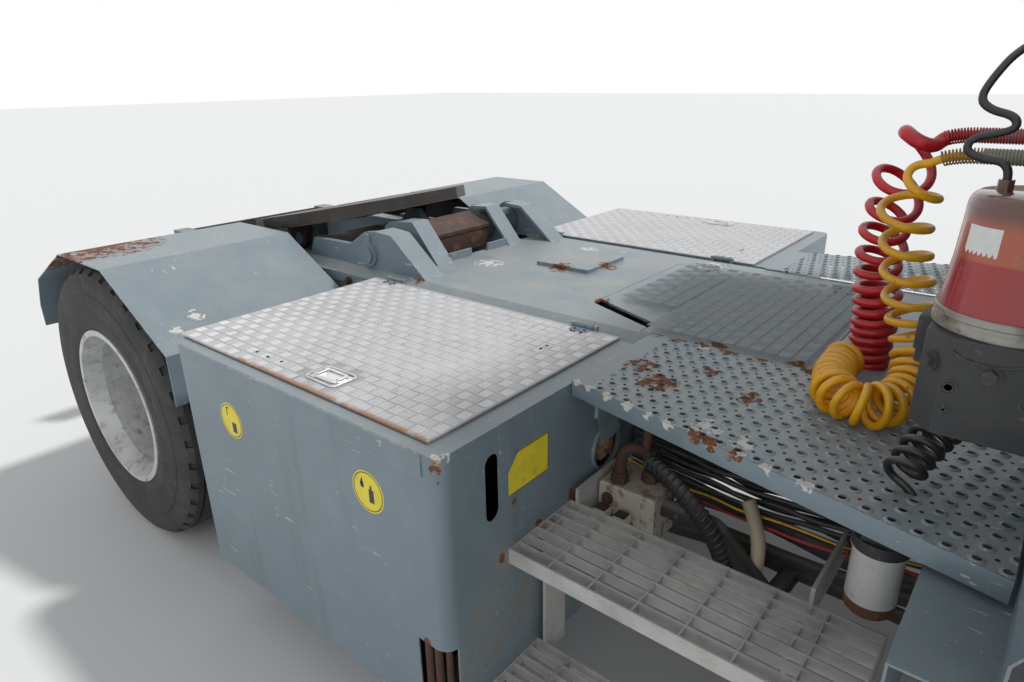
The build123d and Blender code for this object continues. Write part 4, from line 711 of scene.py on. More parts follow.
def coat(name, colour=BLUE_GREY, chips=(), rust=(), dust=0.35, mud=0.0, wear=1.0, gloss=0.36, spatter=()):
    """Semi-gloss paint with patches of primer and rust at (x, y, z, radius) places."""
    made = Finish(name, colour, gloss)
    made.layer(made.noise(1.7, 0.3, 0.7, detail=6), shade(colour, 0.80), amount=0.6)
    made.layer(made.noise(9, 0.45, 0.8, detail=7), shade(colour, 1.14, 0.01), amount=0.45)
    # A film of dust on faces that look up, and streaks down the others
    up = made.spread(made.facing("Z"), 0.5, 0.95)
    film = made.times(up, made.noise(5, 0.25, 0.75, detail=8, rough=0.7))
    made.layer(film, DUST, 0.62, amount=dust)
    side = made.rest(up)
    streaks = made.noise(14, 0.55, 0.8, detail=6, stretch=(1, 1, 0.07))
    made.layer(made.times(side, streaks), (0.10, 0.105, 0.10), 0.6, amount=0.30)
    # Fine scratches show the primer
    scratch = made.noise(90, 0.655, 0.70, detail=3, stretch=(0.16, 1, 1))
    made.layer(made.times(scratch, made.noise(4, 0.5, 0.62)), PRIMER, 0.55, amount=0.8)
    if mud:
        low = made.spread(made.times(made.axis("Z"), -1.0), -0.75, -0.28)
        splash = made.times(low, made.noise(18, 0.36, 0.62, detail=9, rough=0.72))
        made.layer(splash, (0.26, 0.215, 0.16), 0.85, amount=mud)
        made.raise_by(splash, 0.0006)
    if spatter:
        patch = made.spots(spatter, ragged=0.8, scale=20, soft=0.5)
        splash = made.times(patch, made.noise(60, 0.42, 0.60, detail=9, rough=0.7))
        made.layer(splash, (0.27, 0.22, 0.165), 0.85, amount=0.85)
        made.raise_by(splash, 0.0005)
    if wear:
        corners = made.edges(0.0045)
        worn = made.times(corners, made.noise(38, 0.50, 0.60, detail=8, rough=0.7))
        made.layer(worn, PRIMER, 0.6, amount=0.85 * wear)
        rusty = made.times(corners, made.noise(26, 0.60, 0.68, detail=8, shift=(3, 1, 2)))
        made.layer(rusty, RUST, 0.8, amount=wear)
        made.raise_by(worn, -0.0002)
    specks = made.noise(130, 0.70, 0.74, detail=2)
    made.layer(made.times(specks, made.noise(3, 0.48, 0.6, shift=(5, 5, 5))), PRIMER, 0.6)
    if chips:
        bare = made.spots(chips, ragged=0.9, scale=55, soft=0.05)
        made.layer(bare, PRIMER, 0.62)
        made.raise_by(bare, -0.0003)
    if rust:
        made.layer(made.spots(rust, ragged=0.85, scale=30, soft=0.30), (0.30, 0.19, 0.11), 0.75, amount=0.55)
        eaten = made.spots(rust, ragged=1.0, scale=42, soft=0.08)
        tone = made.noise(55, 0.3, 0.7, detail=8)
        made.layer(eaten, RUST, 0.88)
        made.layer(made.times(eaten, tone), RUST_DARK, 0.9)
        made.raise_by(made.times(eaten, made.noise(160, 0.3, 0.7)), 0.0006)
    # The thin orange-peel of a sprayed coat
    made.raise_by(made.noise(170, 0.2, 0.8, detail=2), 0.00006)
    return made.done()


box_coat = coat(
    "box_coat",
    wear=0.7,
    rust=[
        (-0.045, -1.240, 0.950, 0.018),
        (-0.040, -1.246, 0.915, 0.013),
        (-0.036, -1.020, 0.760, 0.010),
        (-0.036, -0.79, 0.650, 0.030),
        (-0.036, -0.93, 0.645, 0.018),
        (-0.036, -1.06, 0.635, 0.015),
        (-0.10, -1.247, 0.49, 0.012),
    ],
    chips=[
        (-1.085, -1.247, 0.955, 0.022),
        (-0.040, -1.235, 0.968, 0.024),
        (-0.036, -0.56, 0.90, 0.040),
        (-0.036, -0.545, 0.80, 0.030),
        (-0.20, -1.247, 0.955, 0.012),
    ],
    spatter=[(-0.036, -1.053, 0.60, 0.10), (-0.036, -1.147, 0.459, 0.12), (-0.036, -0.98, 0.46, 0.13)],
)
fender_coat = coat(
    "fender_coat",
    dust=0.30,
    wear=0.8,
    rust=[(-1.98, -1.06, 1.084, 0.22), (-1.86, -1.20, 1.084, 0.09), (-2.10, -1.19, 1.070, 0.10)],
    chips=[(-1.36, -1.04, 0.94, 0.030), (-1.33, -1.13, 0.91, 0.022), (-2.0, -1.22, 1.084, 0.05)],
)
deck_coat = coat(
    "deck_coat",
    dust=0.55,
    rust=[
        (-0.625, -0.012, DECK_Z, 0.05),
        (-0.50, 0.11, DECK_Z, 0.04),
        (0.14, -0.42, DECK_Z, 0.05),
        (0.38, -0.42, DECK_Z, 0.06),
        (-0.30, -0.24, DECK_Z, 0.03),
        (0.42, -0.32, DECK_Z, 0.035),
        (-0.95, -0.42, DECK_Z, 0.03),
    ],
    chips=[
        (-0.9, -0.1, DECK_Z, 0.06),
        (-0.2, 0.34, DECK_Z, 0.07),
        (-0.72, 0.30, DECK_Z, 0.05),
        (-1.02, 0.42, DECK_Z, 0.06),
    ],
)
plain_coat = coat("blue_grey_coat")
low_coat = coat("chassis_coat", shade(BLUE_GREY, 0.8), mud=0.8, dust=0.5, wear=0.6, gloss=0.5)
cab_coat = coat("cab_coat", dust=0.15, wear=0.5, gloss=0.28)
dress(box_coat, "side_boxes")
dress(fender_coat, "fenders_rear")
dress(deck_coat, "deck", "deck_hatch")
dress(plain_coat, "boom_brackets", "hose_carrier", "walkway_left", "walkway_right")
dress(low_coat, "frame", "rear_axle", "front_axle", "front_panel")
dress(cab_coat, "cab_shell", "cab_roof", "door_left", "door_rear", "bonnet", "fenders_front", "bumper")
painted = [n for n in nodes.values() if n.data.materials and "coat" in n.data.materials[0].name]
print("paint on", len(painted), "nodes")

# %% [markdown]
# ## Metal, rubber, plastic and glass
# The rest of the machine in plain words: galvanised gratings gone brown with mud, aluminium
# lids polished by boots, a fifth wheel black with grease, rust on hubs and pins, black rubber,
# moulded plastic, and glass.

# %% Metal, rubber, plastic and glass
def metal(name, colour, roughness, metallic, grime, amount, rust=0.0):
    """Bare or plated metal with dull patches, grime in clouds and rust on its edges."""
    made = Finish(name, colour, roughness, metallic)
    made.layer(made.noise(12, 0.35, 0.75, detail=7), shade(colour, 0.78), roughness + 0.12)
    made.layer(made.noise(26, 0.50, 0.72, detail=8, rough=0.68), grime, 0.8, 0.1, amount)
    if rust:
        worn = made.times(made.edges(0.004), made.noise(20, 0.45, 0.6, detail=7))
        clouds = made.noise(9, 0.55, 0.68, detail=9, rough=0.7, shift=(2, 0, 1))
        made.layer(made.math("MAXIMUM", worn, clouds), RUST, 0.85, 0.05, rust)
    made.raise_by(made.noise(240, 0.2, 0.8), 0.00008)
    return made.done()


def plastic(name, colour, roughness, dust=0.3, grain=0.00010):
    """Moulded plastic with a fine grain, scuffs and dust on top."""
    made = Finish(name, colour, roughness)
    made.layer(made.noise(8, 0.4, 0.8, detail=6), shade(colour, 1.5, 0.012), amount=0.6)
    made.layer(made.noise(46, 0.60, 0.72, detail=8), shade(colour, 1, 0.09), 0.7, amount=0.5)
    made.layer(made.spread(made.facing("Z"), 0.4, 1.0), DUST, 0.75, amount=dust)
    made.raise_by(made.noise(620, 0.2, 0.8, detail=2), grain)
    return made.done()


def clear(name, colour, roughness=0.02, dust=0.10):
    """Glass or a lens: light passes through, with a film of dust that shows on it."""
    made = Finish(name, colour, roughness)
    made.shader.inputs["IOR"].default_value = 1.45
    made.shader.inputs["Transmission Weight"].default_value = 0.96
    made.layer(made.noise(16, 0.45, 0.8, detail=8), DUST, 0.45, amount=dust)
    return made.done()


LID_TOP = 0.981
# The plate starts at HINGE_Y from the middle, and the hinges' leaves lie on it as far as LEAF_Y
HINGE_Y = 0.4832
LEAF_Y = 0.53


def brushed_tread():
    """Aluminium tread plate: bright on the tops of its bars, dull and dirty between them."""
    made = Finish("tread_aluminium", (0.56, 0.56, 0.565), 0.42, 0.45)
    low = made.spread(made.axis("Z"), LID_TOP + 0.0010, LID_TOP + 0.0001, smooth=False)
    dirt = made.noise(4, 0.35, 0.7, detail=8, rough=0.7)
    dirty = made.times(low, made.math("ADD", made.times(dirt, 0.45), 0.30))
    made.layer(dirty, (0.30, 0.29, 0.29), 0.6, 0.3)
    made.layer(made.rest(low), (0.76, 0.76, 0.77), 0.36, 0.4, 0.8)
    grime = made.noise(30, 0.60, 0.72, detail=8)
    made.layer(grime, (0.26, 0.22, 0.18), 0.8, 0.1, 0.35)
    near_edge = made.spots([(-0.55, -1.213, LID_TOP, 0.32), (-0.25, -1.213, LID_TOP, 0.22)], 0.5, 24, 0.3)
    rim = made.spread(made.times(made.axis("Y"), -1.0), 1.196, 1.211)
    made.layer(made.times(rim, near_edge), (0.38, 0.17, 0.07), 0.85, 0.0, 0.8)
    # Hinges and the parts below the plate are painted with the box
    below = made.math("LESS_THAN", made.axis("Z"), LID_TOP - 0.0055)
    across = made.math("ABSOLUTE", made.axis("Y"))
    hinge = made.math("LESS_THAN", across, HINGE_Y)
    over = made.math("GREATER_THAN", made.axis("Z"), LID_TOP + 0.0015)
    leaf = made.times(over, made.math("LESS_THAN", across, LEAF_Y))
    painted = made.math("MAXIMUM", made.math("MAXIMUM", below, hinge), leaf)
    made.layer(painted, shade(BLUE_GREY, 0.95), 0.45, 0.0)
    rusty = made.times(painted, made.noise(60, 0.56, 0.62, detail=7))
    made.layer(rusty, RUST, 0.85)
    made.raise_by(made.noise(300, 0.3, 0.7, detail=3), 0.00005)
    return made.done()


tread_plate = brushed_tread()
galvanised = metal("galvanised", (0.56, 0.55, 0.53), 0.6, 0.2, (0.40, 0.35, 0.29), 0.5, rust=0.12)
aluminium = metal("aluminium", (0.80, 0.81, 0.82), 0.30, 0.9, (0.2, 0.18, 0.16), 0.25)
chrome = metal("chrome", (0.78, 0.78, 0.79), 0.16, 1.0, (0.15, 0.13, 0.11), 0.2)
rim_paint = metal("rim_silver", (0.60, 0.61, 0.61), 0.45, 0.35, (0.20, 0.165, 0.13), 0.7, rust=0.35)
rusty_iron = metal("rusty_iron", (0.085, 0.042, 0.028), 0.72, 0.15, (0.045, 0.035, 0.03), 0.8, rust=0.5)
cast_iron = metal("cast_iron", (0.055, 0.054, 0.053), 0.62, 0.3, (0.12, 0.10, 0.08), 0.5, rust=0.45)
black_steel = metal("black_steel", (0.03, 0.03, 0.031), 0.5, 0.2, (0.13, 0.11, 0.09), 0.45, rust=0.15)
engine_grey = metal("engine_grey", (0.16, 0.17, 0.17), 0.55, 0.3, (0.07, 0.055, 0.045), 0.7, rust=0.2)
brass = metal("brass", (0.55, 0.38, 0.16), 0.4, 0.9, (0.14, 0.10, 0.06), 0.5)
black_plastic = plastic("black_plastic", (0.024, 0.025, 0.027), 0.55)
cab_plastic = plastic("cab_plastic", (0.060, 0.062, 0.066), 0.6, dust=0.12)
rubber = plastic("rubber", (0.020, 0.020, 0.020), 0.75, dust=0.35, grain=0.00016)
cream_plastic = plastic("cream_plastic", (0.62, 0.57, 0.42), 0.5, dust=0.15)
white_paint = plastic("filter_white", (0.78, 0.77, 0.74), 0.4, dust=0.1, grain=0.00003)
glass = clear("glass", (0.90, 0.95, 0.94))
amber_lens = clear("amber_lens", (0.95, 0.33, 0.02), 0.12, 0.18)
clear_lens = clear("clear_lens", (0.95, 0.96, 0.97), 0.05, 0.12)
red_lens = clear("red_lens", (0.75, 0.02, 0.02), 0.12, 0.15)

# %% Greasy fifth wheel, boom and brackets
def greasy_plate():
    """The fifth wheel: black grease with pale scuffs on its worn top and rust on its edges."""
    made = Finish("fifth_wheel_grease", (0.022, 0.020, 0.019), 0.38, 0.25)
    made.layer(made.noise(6, 0.4, 0.75, detail=8), (0.055, 0.048, 0.042), 0.6)
    rub = made.noise(11, 0.52, 0.60, detail=8, stretch=(0.35, 1, 1), warp=0.6)
    top = made.spread(made.facing("Z"), 0.8, 0.97)
    made.layer(made.times(rub, top), (0.22, 0.15, 0.11), 0.55, 0.5, 0.55)
    made.layer(made.times(made.edges(0.006), made.noise(22, 0.45, 0.6)), RUST, 0.8, 0.1)
    made.layer(made.noise(18, 0.60, 0.68, detail=9, shift=(1, 2, 0)), RUST_DARK, 0.85, 0.05, 0.8)
    made.raise_by(made.noise(60, 0.2, 0.8, detail=6), 0.0009)
    return made.done()


HOOD_Y = 0.1665


def boom_finish():
    """The boom: painted arms, and a hub and hood in the middle that are brown with rust."""
    made = Finish("boom_finish", shade(BLUE_GREY, 0.85), 0.45)
    made.layer(made.noise(7, 0.4, 0.8, detail=7), shade(BLUE_GREY, 0.6), amount=0.8)
    made.layer(made.noise(15, 0.56, 0.66, detail=9), (0.13, 0.10, 0.08), 0.8, amount=0.7)
    middle = made.math("LESS_THAN", made.math("ABSOLUTE", made.axis("Y")), HOOD_Y)
    made.layer(middle, (0.060, 0.034, 0.026), 0.62, 0.1)
    lit = made.times(middle, made.noise(16, 0.50, 0.66, detail=9, rough=0.7))
    made.layer(lit, (0.17, 0.085, 0.045), 0.85)
    made.layer(made.times(made.edges(0.006), made.noise(24, 0.48, 0.6)), RUST, 0.85, amount=0.9)
    made.raise_by(made.noise(90, 0.2, 0.8, detail=6), 0.0005)
    return made.done()


dress(greasy_plate(), "fifth_wheel")
dress(boom_finish(), "boom")
dress(tread_plate, "lid_right", "lid_left")
dress(galvanised, "steps")
dress(rim_paint, "rim_rear_right", "rim_rear_left", "rim_front_right", "rim_front_left")
dress(cast_iron, "knuckle_left", "knuckle_right", "front_springs", "cross_members")
dress(black_steel, "lift_barrels", "driveline", "tanks", "mirrors", "steering_column")
dress(chrome, "lift_rods")
dress(rubber, "suction_hose")
dress(engine_grey, "engine")
dress(black_plastic, "batteries", "lamps")
dress(cab_plastic, "dashboard")
dress(glass, "cab_glass", "door_left_glass", "door_rear_glass")
dress(amber_lens, "beacon")
dress(aluminium, "exhaust")
bare = [n for n, o in nodes.items() if not o.data.materials or o.data.materials[0].name.startswith("slot")]
print("nodes still without a finish of their own:", bare)

# %% [markdown]
# ## Tread plate
# The boxes' lids are aluminium five-bar plate. Five short bars lie side by side in each square
# of a 33 mm chessboard, along the lid in one square and across it in the next. One square's
# bars are made once and copied over the sheet.

# %% Tread plate
CELL = 0.033
BAR_LENGTH = 0.028
BAR_WIDTH = 0.0036
BAR_HEIGHT = 0.0013
BARS = 5


def tread_square(bm, x, y, across):
    """Five tapered bars in one square of the chessboard."""
    for n in range(BARS):
        shift = (n - (BARS - 1) / 2) * CELL / (BARS + 0.6)
        bar = bmesh.ops.create_cube(bm, size=1)["verts"]
        for v in bar:
            top = v.co.z > 0
            a = v.co.x * BAR_LENGTH * (0.86 if top else 1.0)
            b = v.co.y * BAR_WIDTH * (0.6 if top else 1.0) + shift
            v.co = (x + (b if across else a), y + (a if across else b), BAR_HEIGHT if top else 0.0)
        under = [f for v in bar for f in v.link_faces if all(w.co.z < BAR_HEIGHT / 2 for w in f.verts)]
        bmesh.ops.delete(bm, geom=list(set(under)), context="FACES_ONLY")


def tread_bars(name, x0, x1, y0, y1, z, material, body, slot, hole=None):
    """The bars of a whole sheet between two corners, as one piece, with an (x, y, dx, dy) hole."""
    bm = bmesh.new()
    for i in (0, 1):
        for j in (0, 1):
            tread_square(bm, i * CELL, j * CELL, (i + j) % 2)
    columns, rows = int((x1 - x0) / CELL / 2), int((y1 - y0) / CELL / 2)
    repeat(bm, (columns, (2 * CELL, 0, 0)), (rows, (0, 2 * CELL, 0)))
    stretch = ((x1 - x0) / (2 * columns * CELL), (y1 - y0) / (2 * rows * CELL), 1)
    bmesh.ops.translate(bm, vec=(CELL / 2, CELL / 2, 0), verts=bm.verts)
    bmesh.ops.scale(bm, vec=stretch, verts=bm.verts)
    bmesh.ops.translate(bm, vec=(x0, y0, z - 0.0001), verts=bm.verts)
    if hole:
        x, y, dx, dy = hole
        inside = [v for v in bm.verts if abs(v.co.x - x) < dx and abs(v.co.y - y) < dy]
        bmesh.ops.delete(bm, geom=inside, context="VERTS")
    print(name, "has", columns * 2, "by", rows * 2, "squares and", len(bm.faces), "faces")
    add_piece(name, bm, material, body, smooth=0)


HANDLE_X = -0.505
HANDLE_Y = 1.137
HANDLE_LONG = 0.105
HANDLE_WIDE = 0.062
PLATE_Y0 = 0.496
PLATE_Y1 = 1.211
SIDES = (("right", -1), ("left", 1))

for (side, sign), lid in zip(SIDES, (right_lid, left_lid)):
    y0, y1 = sorted((sign * PLATE_Y0, sign * PLATE_Y1))
    dish = (HANDLE_X, sign * HANDLE_Y, 0.068, 0.046)
    place = (lid.x0 + 0.003, lid.x1 - 0.003, y0, y1, LID_TOP)
    tread_bars("tread_bars_" + side, *place, tread_plate, "lid_" + side + "_body", "tread_plate", dish)

# %% [markdown]
# Each lid is lifted by a chromed ring that folds flush into a pressed dish, held by four screws.
# Three rivets at a corner and three near the hinges have lost their heads and rust has run out.

# %% Lift rings and rivets of the lids
RIVETS = (
    (-0.798, 1.157),
    (-0.744, 1.159),
    (-0.685, 1.156),
    (-0.213, 0.684),
    (-0.213, 0.657),
    (-0.219, 0.520),
)


def frame_ring(bm, x, y, z, long, wide, radius, thick):
    """A rounded rectangle of round bar, lying flat."""
    corners = []
    steps = 6
    for sx, sy, start in ((1, 1, 0), (-1, 1, 1), (-1, -1, 2), (1, -1, 3)):
        cx, cy = x + sx * (long / 2 - radius), y + sy * (wide / 2 - radius)
        for k in range(steps + 1):
            angle = (start + k / steps) * pi / 2
            corners.append((cx + radius * cos(angle), cy + radius * sin(angle), z))
    for a, b in zip(corners, corners[1:] + corners[:1]):
        if (Vector(a) - Vector(b)).length > 1e-6:
            rod(bm, a, b, thick, 8)


for side, sign in SIDES:
    x, y = HANDLE_X, sign * HANDLE_Y
    body = "lid_" + side + "_body"
    bm = bmesh.new()
    frame_ring(bm, x, y, LID_TOP + 0.0022, HANDLE_LONG + 0.012, HANDLE_WIDE + 0.012, 0.018, 0.0024)
    block(bm, x - 0.050, x + 0.050, y - 0.028, y + 0.028, LID_TOP + 0.0002, LID_TOP + 0.0012, 0.0004, 1)
    add_piece("dish_" + side, bm, aluminium, body)
    bm = bmesh.new()
    frame_ring(bm, x, y, LID_TOP + 0.0048, HANDLE_LONG - 0.020, HANDLE_WIDE - 0.016, 0.014, 0.0032)
    rod(bm, (x + 0.040, y - 0.012, LID_TOP + 0.0045), (x + 0.040, y + 0.012, LID_TOP + 0.0045), 0.0055, 14)
    for sx in (-1, 1):
        for sy in (-1, 1):
            screw = Vector((x + sx * 0.049, y + sy * 0.027, LID_TOP))
            rod(bm, screw, screw + Vector((0, 0, 0.0028)), 0.0035, 10)
    add_piece("lift_ring_" + side, bm, chrome, body)
    bm = bmesh.new()
    for rx, ry in RIVETS:
        rod(bm, (rx, sign * ry, LID_TOP), (rx, sign * ry, LID_TOP + 0.0022), 0.0060, 12, 0.0042)
    add_piece("rivets_" + side, bm, rusty_iron, body)
print("lids are dressed")

# %% [markdown]
# ## Perforated walkways
# The walkways are anti-slip sheet: every 40 mm a hole is punched upwards into a raised collar,
# with a small flat hole between. The rows run along the slanted outer edge, so the last row
# lies on the fold. One tile of the sheet is cut and pressed, repeated, and trimmed to the plan.

# %% Perforated walkways
HOLE_PITCH = 0.040
HOLE_SIDES = 16
COLLAR_R = 0.0125
HOLE_R = 0.0072
SMALL_R = 0.0040
COLLAR_H = 0.0030
SHEET = 0.004
WALK_IN_Y = 0.421
WALK_X0 = -0.027
WALK_X1 = 0.845
RIGHT_REAR_Y = 0.810
PLAIN = 0.060
FLANGE_H = 0.040


def perforated_tile(bm):
    """One square of the sheet with a raised hole in its middle and small holes at its corners."""
    half = HOLE_PITCH / 2
    square = ring(bm, half, HOLE_SIDES, Matrix())
    for v in square:
        reach = max(abs(v.co.x), abs(v.co.y))
        x, y = v.co.x * half / reach, v.co.y * half / reach
        # Corners are cut back, so that four tiles leave a small hole between them
        if abs(abs(x) - abs(y)) < 1e-6:
            x, y = x * (1 - 0.7 * SMALL_R / half), y * (1 - 0.7 * SMALL_R / half)
        elif min(abs(x), abs(y)) > 0.2 * half:
            x = x if abs(x) > abs(y) else (half - SMALL_R) * (1 if x > 0 else -1)
            y = y if abs(y) > abs(x) else (half - SMALL_R) * (1 if y > 0 else -1)
        v.co = (x, y, 0)
    rings = [square]
    for radius, height in (
        (COLLAR_R, 0),
        (HOLE_R + 0.0022, COLLAR_H * 0.86),
        (HOLE_R, COLLAR_H),
        (HOLE_R, 0.0),
    ):
        rings.append(ring(bm, radius, HOLE_SIDES, Matrix.Translation((0, 0, height))))
    bridge(bm, rings)


def walkway(side, outer_rear, outer_front):
    """A walkway whose outer edge flares from rear to front, as one piece."""
    sign = -1 if side == "right" else 1
    slope = atan2(outer_front - outer_rear, WALK_X1 - WALK_X0)
    length = hypot(outer_front - outer_rear, WALK_X1 - WALK_X0)
    bm = bmesh.new()
    perforated_tile(bm)
    rows = 16
    along_edge = (ceil(length / HOLE_PITCH) + 3, (HOLE_PITCH, 0, 0))
    repeat(bm, along_edge, (rows, (0, HOLE_PITCH, 0)), merge=True)
    # The first row's holes stand 12 mm inside the edge
    shift = (-2 * HOLE_PITCH, 0.012 - HOLE_PITCH * (rows - 1), WALK_Z)
    bmesh.ops.translate(bm, vec=shift, verts=bm.verts)
    edge_turn = Matrix.Translation((WALK_X0, outer_rear, 0)) @ Matrix.Rotation(slope, 4, "Z")
    bmesh.ops.transform(bm, matrix=edge_turn @ Matrix.Translation((0, -0.024, 0)), verts=bm.verts)
    outward = Vector((-sin(slope), cos(slope), 0))
    for place, away in (
        ((WALK_X0, outer_rear - 0.0005, 0), outward),
        ((0, WALK_IN_Y, 0), (0, -1, 0)),
        ((WALK_X0 + PLAIN, 0, 0), (-1, 0, 0)),
        ((WALK_X1, 0, 0), (1, 0, 0)),
    ):
        geom = bm.verts[:] + bm.edges[:] + bm.faces[:]
        bmesh.ops.bisect_plane(bm, geom=geom, plane_co=place, plane_no=away, clear_outer=True, dist=1e-5)
    # The plain strip beside the box, and the two flanges
    strip = block(bm, WALK_X0, WALK_X0 + PLAIN, WALK_IN_Y, outer_rear + 0.03, WALK_Z - SHEET, WALK_Z)
    geom = list({g for v in strip for g in (v, *v.link_edges, *v.link_faces)})
    cut_off(bm, geom, (WALK_X0, outer_rear, 0), outward)
    low = WALK_Z - FLANGE_H - 0.001
    flange = block(bm, 0, length, -SHEET, 0, low, WALK_Z - 0.0008, 0.0012)
    bmesh.ops.transform(bm, matrix=edge_turn, verts=[v for v in flange if v.is_valid])
    y0, y1 = WALK_IN_Y + 0.060, outer_rear - 0.002
    block(bm, WALK_X0, WALK_X0 + SHEET, y0, y1, low, WALK_Z - 0.001)
    for x in (WALK_X0 + 0.060, WALK_X1 - 0.152):
        block(bm, x, x + 0.008, 0.4702, outer_rear - 0.010, WALK_Z - 0.085, WALK_Z - 0.0045)
        block(bm, x, x + 0.008, 0.460, 0.500, WALK_Z - 0.145, WALK_Z - 0.066)
    if sign < 0:
        bmesh.ops.scale(bm, vec=(1, -1, 1), verts=bm.verts)
        bmesh.ops.reverse_faces(bm, faces=bm.faces)
    piece = add_piece("walkway_sheet_" + side, bm, walk_coat, "chassis", node="walkway_" + side)
    print(piece.name, "has", len(piece.data.polygons), "faces")


def edge_spots(places, radius):
    """Spots along the right walkway's outer edge, at these x places."""
    flare = 0.2133
    return [(x, -(RIGHT_REAR_Y + (x - WALK_X0) * flare), WALK_Z, radius) for x in places]


walk_coat = coat(
    "walk_coat",
    dust=0.42,
    wear=0.6,
    chips=edge_spots([-0.01, 0.03, 0.08, 0.14, 0.20, 0.25, 0.30, 0.35, 0.41, 0.47, 0.54], 0.017)
    + [(0.13, -0.44, WALK_Z, 0.02), (0.32, -0.83, WALK_Z, 0.035), (0.40, -0.85, WALK_Z, 0.03)],
    rust=edge_spots([0.31, 0.35, 0.40], 0.022)
    + [(0.06, -0.64, WALK_Z, 0.045), (0.14, -0.70, WALK_Z, 0.05)]
    + [(0.20, -0.58, WALK_Z, 0.03), (0.33, -0.66, WALK_Z, 0.035)]
    + [(x, -0.424, WALK_Z, 0.028) for x in (-0.02, 0.05, 0.12, 0.2, 0.28, 0.40)],
)
walkway("right", RIGHT_REAR_Y, 0.996)
walkway("left", 0.735, 0.945)

# %% [markdown]
# ## Tyres and wheel nuts
# Each tyre is its section spun round the axle, with four grooves round the tread and a row of
# notches across each shoulder. The sidewall has the bulge, the bead step and the thin rings of
# a real truck tyre. Ten nuts and a valve finish each wheel.

# %% Tyres
TYRE_R = 0.525
RIM_R = 0.2985
HALF_TYRE = 0.140
TYRE_STEPS = 112


def tyre_section(y):
    """Half-section points of a tyre round the middle plane y, mirrored: (y, radius)."""
    h = HALF_TYRE
    half = [
        (h - 0.012, 0.2861),
        (h - 0.012, RIM_R + 0.002),
        (h - 0.007, RIM_R + 0.012),
        (h - 0.006, RIM_R + 0.016),
        (h - 0.004, RIM_R + 0.024),
        (h - 0.001, RIM_R + 0.060),
        (h - 0.0025, RIM_R + 0.064),
        (h, RIM_R + 0.095),
        (h - 0.002, RIM_R + 0.135),
        (h - 0.0045, RIM_R + 0.138),
        (h - 0.006, RIM_R + 0.165),
        (h - 0.011, TYRE_R - 0.040),
        (h - 0.016, TYRE_R - 0.020),
        (h - 0.034, TYRE_R - 0.003),
        (h - 0.052, TYRE_R - 0.001),
        (h - 0.054, TYRE_R - 0.013),
        (h - 0.062, TYRE_R - 0.013),
        (h - 0.064, TYRE_R),
        (0.032, TYRE_R),
        (0.030, TYRE_R - 0.013),
        (0.022, TYRE_R - 0.013),
        (0.020, TYRE_R),
    ]
    inside = [(h - 0.050, TYRE_R - 0.034), (h - 0.020, RIM_R + 0.090), (h - 0.030, 0.2861)]
    outline = [(y + a, r) for a, r in half] + [(y - a, r) for a, r in reversed(half)]
    return outline + [(y - a, r) for a, r in reversed(inside)] + [(y + a, r) for a, r in inside]


def spin_section(bm, section, x):
    """Spin a closed (y, radius) section round the axle at x."""
    verts = [bm.verts.new((x, y, AXLE_Z + r)) for y, r in section]
    edges = [bm.edges.new(pair) for pair in zip(verts, verts[1:] + verts[:1])]
    bmesh.ops.spin(
        bm,
        geom=verts + edges,
        cent=(x, 0, AXLE_Z),
        axis=(0, 1, 0),
        angle=tau,
        steps=TYRE_STEPS,
        use_merge=True,
    )


def tyre(name, x, middles, body, node):
    """One or two tyres on an axle, with notches pressed into their shoulders."""
    bm = bmesh.new()
    for y in middles:
        spin_section(bm, tyre_section(y), x)
    bmesh.ops.remove_doubles(bm, verts=bm.verts, dist=1e-6)
    bmesh.ops.recalc_face_normals(bm, faces=bm.faces)
    notches = []
    for face in bm.faces:
        c = face.calc_center_median()
        away = min(abs(abs(c.y - y) - (HALF_TYRE - 0.025)) for y in middles)
        radius = hypot(c.x - x, c.z - AXLE_Z)
        step = int(round(atan2(c.z - AXLE_Z, c.x - x) / tau * TYRE_STEPS - 0.5))
        if away < 0.006 and radius > TYRE_R - 0.016 and step % 3 == 0:
            notches.append(face)
    bmesh.ops.inset_individual(bm, faces=notches, thickness=0.0012, depth=-0.008)
    add_piece(name, bm, tyre_rubber, body, smooth=35, node=node)


tread = Finish("tyre_rubber", (0.030, 0.030, 0.031), 0.82)
tread.layer(tread.noise(6, 0.35, 0.75, detail=8), (0.060, 0.058, 0.055), amount=0.7)
tread.layer(tread.noise(22, 0.5, 0.75, detail=9, rough=0.7), (0.125, 0.11, 0.09), 0.9, amount=0.6)
tread.layer(tread.noise(70, 0.64, 0.72, detail=6), (0.20, 0.18, 0.15), 0.95, amount=0.4)
tread.raise_by(tread.noise(280, 0.2, 0.8, detail=4), 0.00025)
tyre_rubber = tread.done()

DUAL_OUT = 1.064
DUAL_IN = 0.749
FRONT_Y = 1.040
for side, sign in SIDES:
    for end, x, middles in (("rear", REAR_X, (DUAL_OUT, DUAL_IN)), ("front", FRONT_X, (FRONT_Y,))):
        name = f"{end}_{side}"
        tyre("tread_" + name, x, [sign * y for y in middles], "wheel_" + name, "tyre_" + name)

# %% Wheel nuts, hub caps and valves
BOLT_CIRCLE = 0.1675
CAP_CIRCLE = 0.070
# Washer, nut and stud: where each starts and ends on the axle, its radius and its sides
WHEEL_NUT = ((0, 0.003, 0.0215, 20), (0.002, 0.024, 0.0190, 6), (0.020, 0.031, 0.0105, 12))
CAP_SCREW = ((-0.001, 0.009, 0.0095, 6),)


def round_axle(bm, x, sign, face, circle, count, first, parts):
    """The parts of a nut, at equal steps on a circle round the axle at x."""
    for n in range(count):
        angle = tau * (n + first) / count
        px, pz = x + circle * cos(angle), AXLE_Z + circle * sin(angle)
        for low, high, radius, sides in parts:
            rod(bm, (px, sign * (face + low), pz), (px, sign * (face + high), pz), radius, sides)


